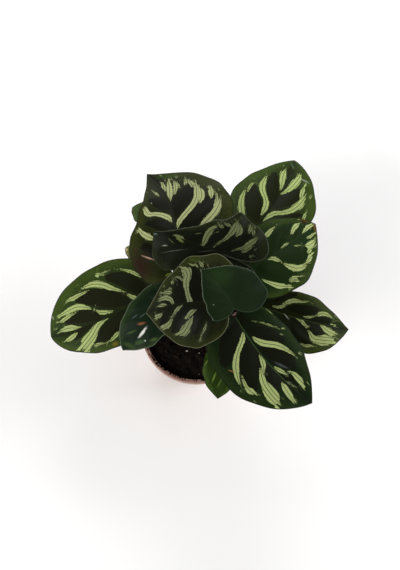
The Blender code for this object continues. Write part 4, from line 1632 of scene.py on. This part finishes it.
    def build_stalk(self) -> bpy.types.Object:
        """Builds the stalk as a closed round tube.

        Returns:
            The piece.
        """
        line, radii = self.stalk_line()
        heading = unit(np.gradient(line, axis=0))
        for _ in range(self.stalk_smoothings):
            heading[1:-1] = unit(heading[:-2] + heading[1:-1] + heading[2:])
        turns = np.linspace(0, 2 * math.pi, self.stalk_sides, endpoint=False)
        run = run_length(line) / run_length(line)[-1]
        left = self.surface.side
        rings, fields = [], []
        for centre, along, radius, share in zip(line, heading, radii, run):
            left = unit(left - along * (left @ along))
            top = np.cross(left, along)
            around = np.cos(turns)[:, None] * top + np.sin(turns)[:, None] * left
            rings.append(centre + radius * around)
            fields.append(np.stack([np.full_like(turns, share), np.cos(turns), np.sin(turns)], -1))
        count = self.stalk_sides
        faces = [list(range(count))[::-1], [count * (len(line) - 1) + side for side in range(count)]]
        for ring in range(len(line) - 1):
            for side in range(count):
                after = (side + 1) % count
                low, high = ring * count, (ring + 1) * count
                faces.append([low + side, low + after, high + after, high + side])
        name = self.form.name + "_stalk"
        return build_mesh(name, np.concatenate(rings), faces, {"along": np.concatenate(fields)})

    def build(self, stalk_paint: bpy.types.Material) -> None:
        """Builds and dresses both pieces of the leaf.

        Args:
            stalk_paint: Finish of the stalk.
        """
        blade = self.build_blade()
        settle(blade, self.finish.paint(self.form, self.surface.length), self.form.name)
        stalk = self.build_stalk()
        settle(stalk, stalk_paint, self.form.name)
        LOG.info("%s: blade %d points, stalk %d points", self.form.name,
                 len(blade.data.vertices), len(stalk.data.vertices))


@dataclass(frozen=True)
class StalkFinish:
    """Slender petiole: green-brown under the blade, pinkish brown lower down, finely ribbed."""

    upper: Colour = (60, 54, 32)
    middle: Colour = (96, 60, 48)
    foot: Colour = (92, 46, 38)
    mottle_scale: float = 420.0
    fibre_scale: float = 2.0
    fibre_across: float = 3.0
    fibre_along: float = 26.0
    sway: float = 0.2
    middle_edge: Pair = (0.18, 0.5)
    foot_edge: Pair = (0.72, 0.98)
    light: Point = (0.55, 0.5, 0.4)
    rough: float = 0.48
    rough_sway: float = 0.2
    mottle_relief: float = 0.4
    depth: float = 0.0002
    bump: float = 0.5

    def paint(self) -> bpy.types.Material:
        """Makes the material.

        Returns:
            The material.
        """
        graph = Graph(bpy.data.materials.new("stalk_finish"))
        along, across, around = graph.attribute("along")
        mottle = graph.noise(graph.place(), self.mottle_scale, detail=4.0)
        fibre = (across * self.fibre_across, around * self.fibre_across, along * self.fibre_along)
        grain = graph.noise(graph.vector(*fibre), self.fibre_scale)
        way = along + mottle.swing(self.sway)
        colour = graph.mix(linear(self.upper), linear(self.middle), way.rise(*self.middle_edge))
        colour = graph.mix(colour, linear(self.foot), way.rise(*self.foot_edge))
        colour = graph.tint(colour, brightness(self.light, mottle, grain))
        rough = self.rough + mottle.swing(self.rough_sway)
        return graph.finish(colour, rough, grain + mottle * self.mottle_relief, self.depth, self.bump)


@dataclass(frozen=True)
class SoilFinish:
    """Damp dark potting soil with a few pale grains."""

    damp: Colour = (15, 11, 8)
    dry: Colour = (44, 34, 26)
    grain: Colour = (186, 180, 168)
    clod_scale: float = 160.0
    dust_scale: float = 1500.0
    dryness: Point = (0.6, 0.4, 0.22)
    dry_edge: Pair = (0.48, 0.8)
    grain_light: Pair = (0.7, 0.5)
    grain_edge: Pair = (0.968, 0.972)
    gloss: float = 0.08
    rough: float = 0.86
    rough_sway: float = 0.2
    dust_relief: float = 0.5
    depth: float = 0.0008
    bump: float = 0.8

    def paint(self) -> bpy.types.Material:
        """Makes the material.

        Returns:
            The material.
        """
        graph = Graph(bpy.data.materials.new("soil_finish"))
        kind, shade, _ = graph.attribute("grain")
        place = graph.place()
        clod = graph.noise(place, self.clod_scale, detail=5.0, rough=0.6)
        dust = graph.noise(place, self.dust_scale, detail=4.0, rough=0.6)
        by_clod, by_dust, by_crumb = self.dryness
        dry = (clod * by_clod + dust * by_dust + shade * by_crumb).rise(*self.dry_edge)
        colour = graph.mix(linear(self.damp), linear(self.dry), dry)
        grain = graph.tint(linear(self.grain), brightness(self.grain_light, dust))
        colour = graph.mix(colour, grain, kind.rise(*self.grain_edge))
        graph.shader.inputs["Specular IOR Level"].default_value = self.gloss
        rough = self.rough + dust.swing(self.rough_sway)
        return graph.finish(colour, rough, clod + dust * self.dust_relief, self.depth, self.bump)


@dataclass(frozen=True)
class PotFinish:
    """Thin clay-coloured plastic, slightly dusty, with soil marks near the lip."""

    clay: Colour = (150, 108, 94)
    faded: Colour = (176, 142, 128)
    dust: Colour = (92, 72, 58)
    cloud_scale: float = 34.0
    fine_scale: float = 900.0
    ring_scale: float = 1400.0
    fading: Pair = (0.7, 0.3)
    faded_edge: Pair = (0.35, 0.7)
    stain_fray: float = 0.5
    stain_edge: Pair = (0.52, 0.72)
    stain_height: Pair = (0.9, 0.97)
    stain_strength: float = 0.5
    light: Pair = (0.9, 0.2)
    rough: float = 0.5
    rough_sway: float = 0.25
    relief: Pair = (0.5, 0.5)
    depth: float = 0.0001
    bump: float = 0.4

    def paint(self, height: float) -> bpy.types.Material:
        """Makes the material.

        Args:
            height: Height of the pot in metres.

        Returns:
            The material.
        """
        graph = Graph(bpy.data.materials.new("pot_finish"))
        place = graph.place()
        tall = graph.parts(place)[2]
        cloud = graph.noise(place, self.cloud_scale, detail=4.0)
        fine = graph.noise(place, self.fine_scale)
        rings = graph.noise(graph.vector(tall, 0.0), self.ring_scale, detail=2.0)
        by_cloud, by_ring = self.fading
        faded = (cloud * by_cloud + rings * by_ring).rise(*self.faded_edge)
        colour = graph.mix(linear(self.clay), linear(self.faded), faded)
        stain = (cloud + fine.swing(self.stain_fray)).rise(*self.stain_edge)
        stain = stain * (tall / height).rise(*self.stain_height)
        colour = graph.mix(colour, linear(self.dust), stain * self.stain_strength)
        colour = graph.tint(colour, brightness(self.light, fine))
        by_ring, by_fine = self.relief
        rough = self.rough + fine.swing(self.rough_sway)
        return graph.finish(colour, rough, rings * by_ring + fine * by_fine, self.depth, self.bump)


@dataclass
class Soil:
    """The soil: a closed plug with a fine lumpy top, and crumbs lying on it."""

    radius: float = 55.0
    low_radius: float = 40.5
    low: float = 1.9
    edge_height: float = 91.5
    mound: float = 3.0
    rings: int = 44
    sides: int = 150
    lump: float = 0.85
    lump_share: float = 0.3
    waves: tuple[float, ...] = (9.0, 5.5, 3.4, 2.2)
    waves_each: int = 5
    wave_range: Pair = (0.8, 1.25)
    crumbs: int = 430
    crumb_reach: float = 0.985
    crumb_size: float = 0.45
    crumb_growth: float = 1.5
    crumb_range: Pair = (0.6, 1.2)
    crumb_shape: Point = (1, 1, 0.8)
    crumb_rough: float = 0.16
    crumb_waves: float = 4
    crumb_start: float = 6
    crumb_lift: float = 0.35
    rim_crumbs: int = 420
    rim_crumb_size: float = 0.7
    rim_scatter: float = 0.8
    rim_radius: float = 56.6
    rim_height: float = 98.0
    seed: int = 11

    def top(self, x: np.ndarray, y: np.ndarray) -> np.ndarray:
        """Height of the soil's top.

        Args:
            x: Places across.
            y: Places along.

        Returns:
            Heights in millimetres.
        """
        share = np.hypot(x, y) / self.radius
        height = self.edge_height + self.mound * (1 - share**2)
        draw = np.random.default_rng(self.seed)
        for wave in self.waves:
            for _ in range(self.waves_each):
                turn, start = draw.uniform(0, 2 * math.pi, 2)
                way = x * math.cos(turn) + y * math.sin(turn)
                swing = 2 * math.pi * way / (wave * draw.uniform(*self.wave_range))
                swing = np.sin(swing + start)
                height = height + self.lump * (wave / self.waves[0]) * self.lump_share * swing
        return height

    def plug(self) -> tuple[np.ndarray, list]:
        """Makes the plug: rings from its edge to its middle, then its bottom.

        Returns:
            Its points and its faces.
        """
        turns = np.linspace(0, 2 * math.pi, self.sides, endpoint=False)
        radii = self.radius * np.linspace(1, 0, self.rings + 1)[:-1]
        x = radii[:, None] * np.cos(turns)
        y = radii[:, None] * np.sin(turns)
        top = np.stack([x, y, self.top(x, y)], -1).reshape(-1, 3)
        centre = np.array([[0, 0, float(self.top(np.zeros(1), np.zeros(1))[0])]])
        across, along = self.low_radius * np.cos(turns), self.low_radius * np.sin(turns)
        bottom = np.stack([across, along, np.full_like(turns, self.low)], -1)
        middle = len(top)
        faces = []
        for ring in range(self.rings - 1):
            for side in range(self.sides):
                after = (side + 1) % self.sides
                a, b = ring * self.sides + side, ring * self.sides + after
                faces.append([a, b, b + self.sides, a + self.sides])
        last = (self.rings - 1) * self.sides
        for side in range(self.sides):
            after = (side + 1) % self.sides
            faces.append([last + side, last + after, middle])
            low, next_low = middle + 1 + side, middle + 1 + after
            faces.append([low, next_low, after, side])
        faces.append([middle + 1 + side for side in range(self.sides)][::-1])
        return np.concatenate([top, centre, bottom]), faces

    def crumb(self, draw: np.random.Generator, ball: np.ndarray, on_rim: bool) -> np.ndarray:
        """One crumb, lying on the soil or on the pot's lip.

        Args:
            draw: Source of its size and place.
            ball: Points of a ball of radius one.
            on_rim: Whether it lies on the lip.

        Returns:
            Its points.
        """
        spread = self.radius * math.sqrt(draw.uniform(0, 1)) * self.crumb_reach
        size = self.crumb_size + self.crumb_growth * draw.uniform(0, 1) ** 3
        if on_rim:
            spread = self.rim_radius + abs(draw.normal(0, self.rim_scatter))
            size *= self.rim_crumb_size
        turn = draw.uniform(0, 2 * math.pi)
        spot = np.array([spread * math.cos(turn), spread * math.sin(turn)])
        stretch = size * draw.uniform(*self.crumb_range, 3) * self.crumb_shape
        spin = turned_about(draw.uniform(0, 2 * math.pi, 3))
        swing = ball @ draw.uniform(-self.crumb_waves, self.crumb_waves, 3)
        rough = 1 + self.crumb_rough * np.sin(swing + draw.uniform(0, self.crumb_start))
        shape = (ball * rough[:, None] * stretch) @ spin.T
        ground = self.rim_height if on_rim else float(self.top(spot[:1], spot[1:])[0])
        return shape + (*spot, ground + self.crumb_lift * size)

    def build(self) -> bpy.types.Object:
        """Builds the plug and its crumbs as one piece.

        Returns:
            The piece.
        """
        draw = np.random.default_rng(self.seed + 1)
        plug, faces = self.plug()
        points, kinds = [plug], [np.zeros((len(plug), 3))]
        count = len(plug)
        ball, ball_faces = unit_ball()
        for number in range(self.crumbs + self.rim_crumbs):
            points.append(self.crumb(draw, ball, number >= self.crumbs))
            kinds.append(np.tile([draw.uniform(0, 1), draw.uniform(0, 1), 0], (len(ball), 1)))
            faces += [[corner + count for corner in face] for face in ball_faces]
            count += len(ball)
        return build_mesh("soil_bed", np.concatenate(points), faces, {"grain": np.concatenate(kinds)})


def unit_ball() -> tuple[np.ndarray, list]:
    """Makes a ball of radius one: a cube with each side cut into small faces, rounded.

    Returns:
        Its points and its faces.
    """
    steps = np.linspace(-1, 1, BALL_CUTS + 1)
    numbers: dict[tuple, int] = {}
    faces = []
    for axis, sign, i, j in product(range(3), (-1.0, 1.0), range(BALL_CUTS), range(BALL_CUTS)):
        face = []
        for a, b in ((i, j), (i + 1, j), (i + 1, j + 1), (i, j + 1)):
            corner = [0.0, 0.0, 0.0]
            corner[axis] = sign
            corner[(axis + 1) % 3] = steps[a]
            corner[(axis + 2) % 3] = steps[b]
            key = tuple(round(part, KEY_DIGITS) for part in corner)
            face.append(numbers.setdefault(key, len(numbers)))
        faces.append(face if sign > 0 else face[::-1])
    return unit(np.array(list(numbers))), faces


def turned_about(angles: np.ndarray) -> np.ndarray:
    """Makes a turn about the three axes, one after another.

    Args:
        angles: The three angles in radians.

    Returns:
        The turn's matrix.
    """
    turn = np.eye(3)
    for axis, angle in enumerate(angles):
        step = np.eye(3)
        a, b = (axis + 1) % 3, (axis + 2) % 3
        step[a, a] = step[b, b] = math.cos(angle)
        step[a, b], step[b, a] = -math.sin(angle), math.sin(angle)
        turn = step @ turn
    return turn


@dataclass(frozen=True)
class Lamp:
    """A soft rectangular light that faces a point."""

    name: str
    place: Point
    power: float
    colour: Colour = (1.0, 1.0, 1.0)
    target: Point = (0, 0, 0.12)
    size: float = 1.1

    def build(self) -> None:
        """Hangs the light."""
        data = bpy.data.lights.new(self.name, "AREA")
        data.size = self.size
        data.energy = self.power
        data.color = self.colour
        lamp = bpy.data.objects.new(self.name, data)
        lamp.location = self.place
        aim = Vector(self.target) - Vector(self.place)
        lamp.rotation_euler = aim.to_track_quat("-Z", "Y").to_euler()
        bpy.context.scene.collection.objects.link(lamp)


@dataclass
class Studio:
    """Pale floor, soft lights, and the camera that stands where the photograph's stood."""

    floor_size: float = 6.0
    floor_colour: Colour = (255, 255, 255)
    floor_rough: float = 0.86
    floor_sway: float = 0.08
    floor_scale: float = 1.5
    zenith: float = 0.10
    horizon: float = 0.80
    zenith_edge: Pair = (0.25, 0.85)
    focus: Point = (0.0037, 0.0265, 0.174)
    distance: float = 0.85
    elevation: float = 74.0
    lens: float = 53.68
    sight: Pair = (0.01, 50)
    lamps: tuple[Lamp, ...] = (
        Lamp("window_left", place=(-1.7, -1.0, 1.5), power=36.0, colour=(1.0, 0.99, 0.96)),
        Lamp("window_right", place=(1.8, 0.4, 1.3), power=24.0),
        Lamp("window_back", place=(0.1, 1.9, 1.4), power=21.0),
    )

    def build_floor(self) -> None:
        """Lays the floor."""
        half = self.floor_size / MM / 2
        ends = np.array([[-half, -half, 0], [half, -half, 0], [half, half, 0], [-half, half, 0]])
        floor = build_mesh("floor", ends, [[0, 1, 2, 3]], {})
        graph = Graph(bpy.data.materials.new("floor_finish"))
        cloud = graph.noise(graph.place(), self.floor_scale, detail=2.0)
        rough = self.floor_rough + cloud * self.floor_sway
        floor.data.materials.append(graph.finish(linear(self.floor_colour), rough, None, 0.0))

    def build_sky(self) -> None:
        """Makes the surroundings: bright near the horizon and darker overhead."""
        world = bpy.data.worlds.new("studio")
        bpy.context.scene.world = world
        graph = Graph(world, "Background")
        where = graph.node("ShaderNodeTexCoord").outputs["Generated"]
        start, full = self.zenith_edge
        glow = graph.node("ShaderNodeMapRange", {"interpolation_type": "SMOOTHSTEP"}, {
            "Value": graph.parts(where)[2], "From Min": start, "From Max": full,
            "To Min": self.horizon, "To Max": self.zenith,
        })
        graph.feed(graph.shader.inputs["Strength"], glow.outputs["Result"])
        graph.feed(graph.shader.inputs["Color"], (1.0, 1.0, 1.0))
        bpy.context.scene.view_settings.view_transform = "Standard"

    def build_camera(self) -> None:
        """Stands the camera on its line of sight."""
        data = bpy.data.cameras.new("camera")
        data.lens = self.lens
        data.clip_start, data.clip_end = self.sight
        camera = bpy.data.objects.new("camera", data)
        tilt = math.radians(self.elevation)
        back = Vector((0, -math.cos(tilt), math.sin(tilt)))
        camera.location = Vector(self.focus) + back * self.distance
        camera.rotation_euler = (math.pi / 2 - tilt, 0, 0)
        bpy.context.scene.collection.objects.link(camera)
        bpy.context.scene.camera = camera

    def build(self) -> None:
        """Builds all of it."""
        self.build_camera()
        self.build_floor()
        self.build_sky()
        for lamp in self.lamps:
            lamp.build()


def main() -> None:
    """Builds the plant piece by piece and logs how many points each piece has."""
    logging.basicConfig(level=logging.INFO, format="%(message)s")
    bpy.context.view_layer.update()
    Studio().build()
    stalk_paint = StalkFinish().paint()
    for form in LEAVES:
        FineLeaf(form).build(stalk_paint)
    bed = Soil().build()
    settle(bed, SoilFinish().paint(), "soil")
    LOG.info("soil_bed: %d points", len(bed.data.vertices))
    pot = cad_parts["pot"]
    paint = PotFinish().paint(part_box("pot")[1].z)
    for slot in pot.material_slots:
        slot.material = paint
    LOG.info("pot: dressed")


if __name__ == "__main__":
    main()
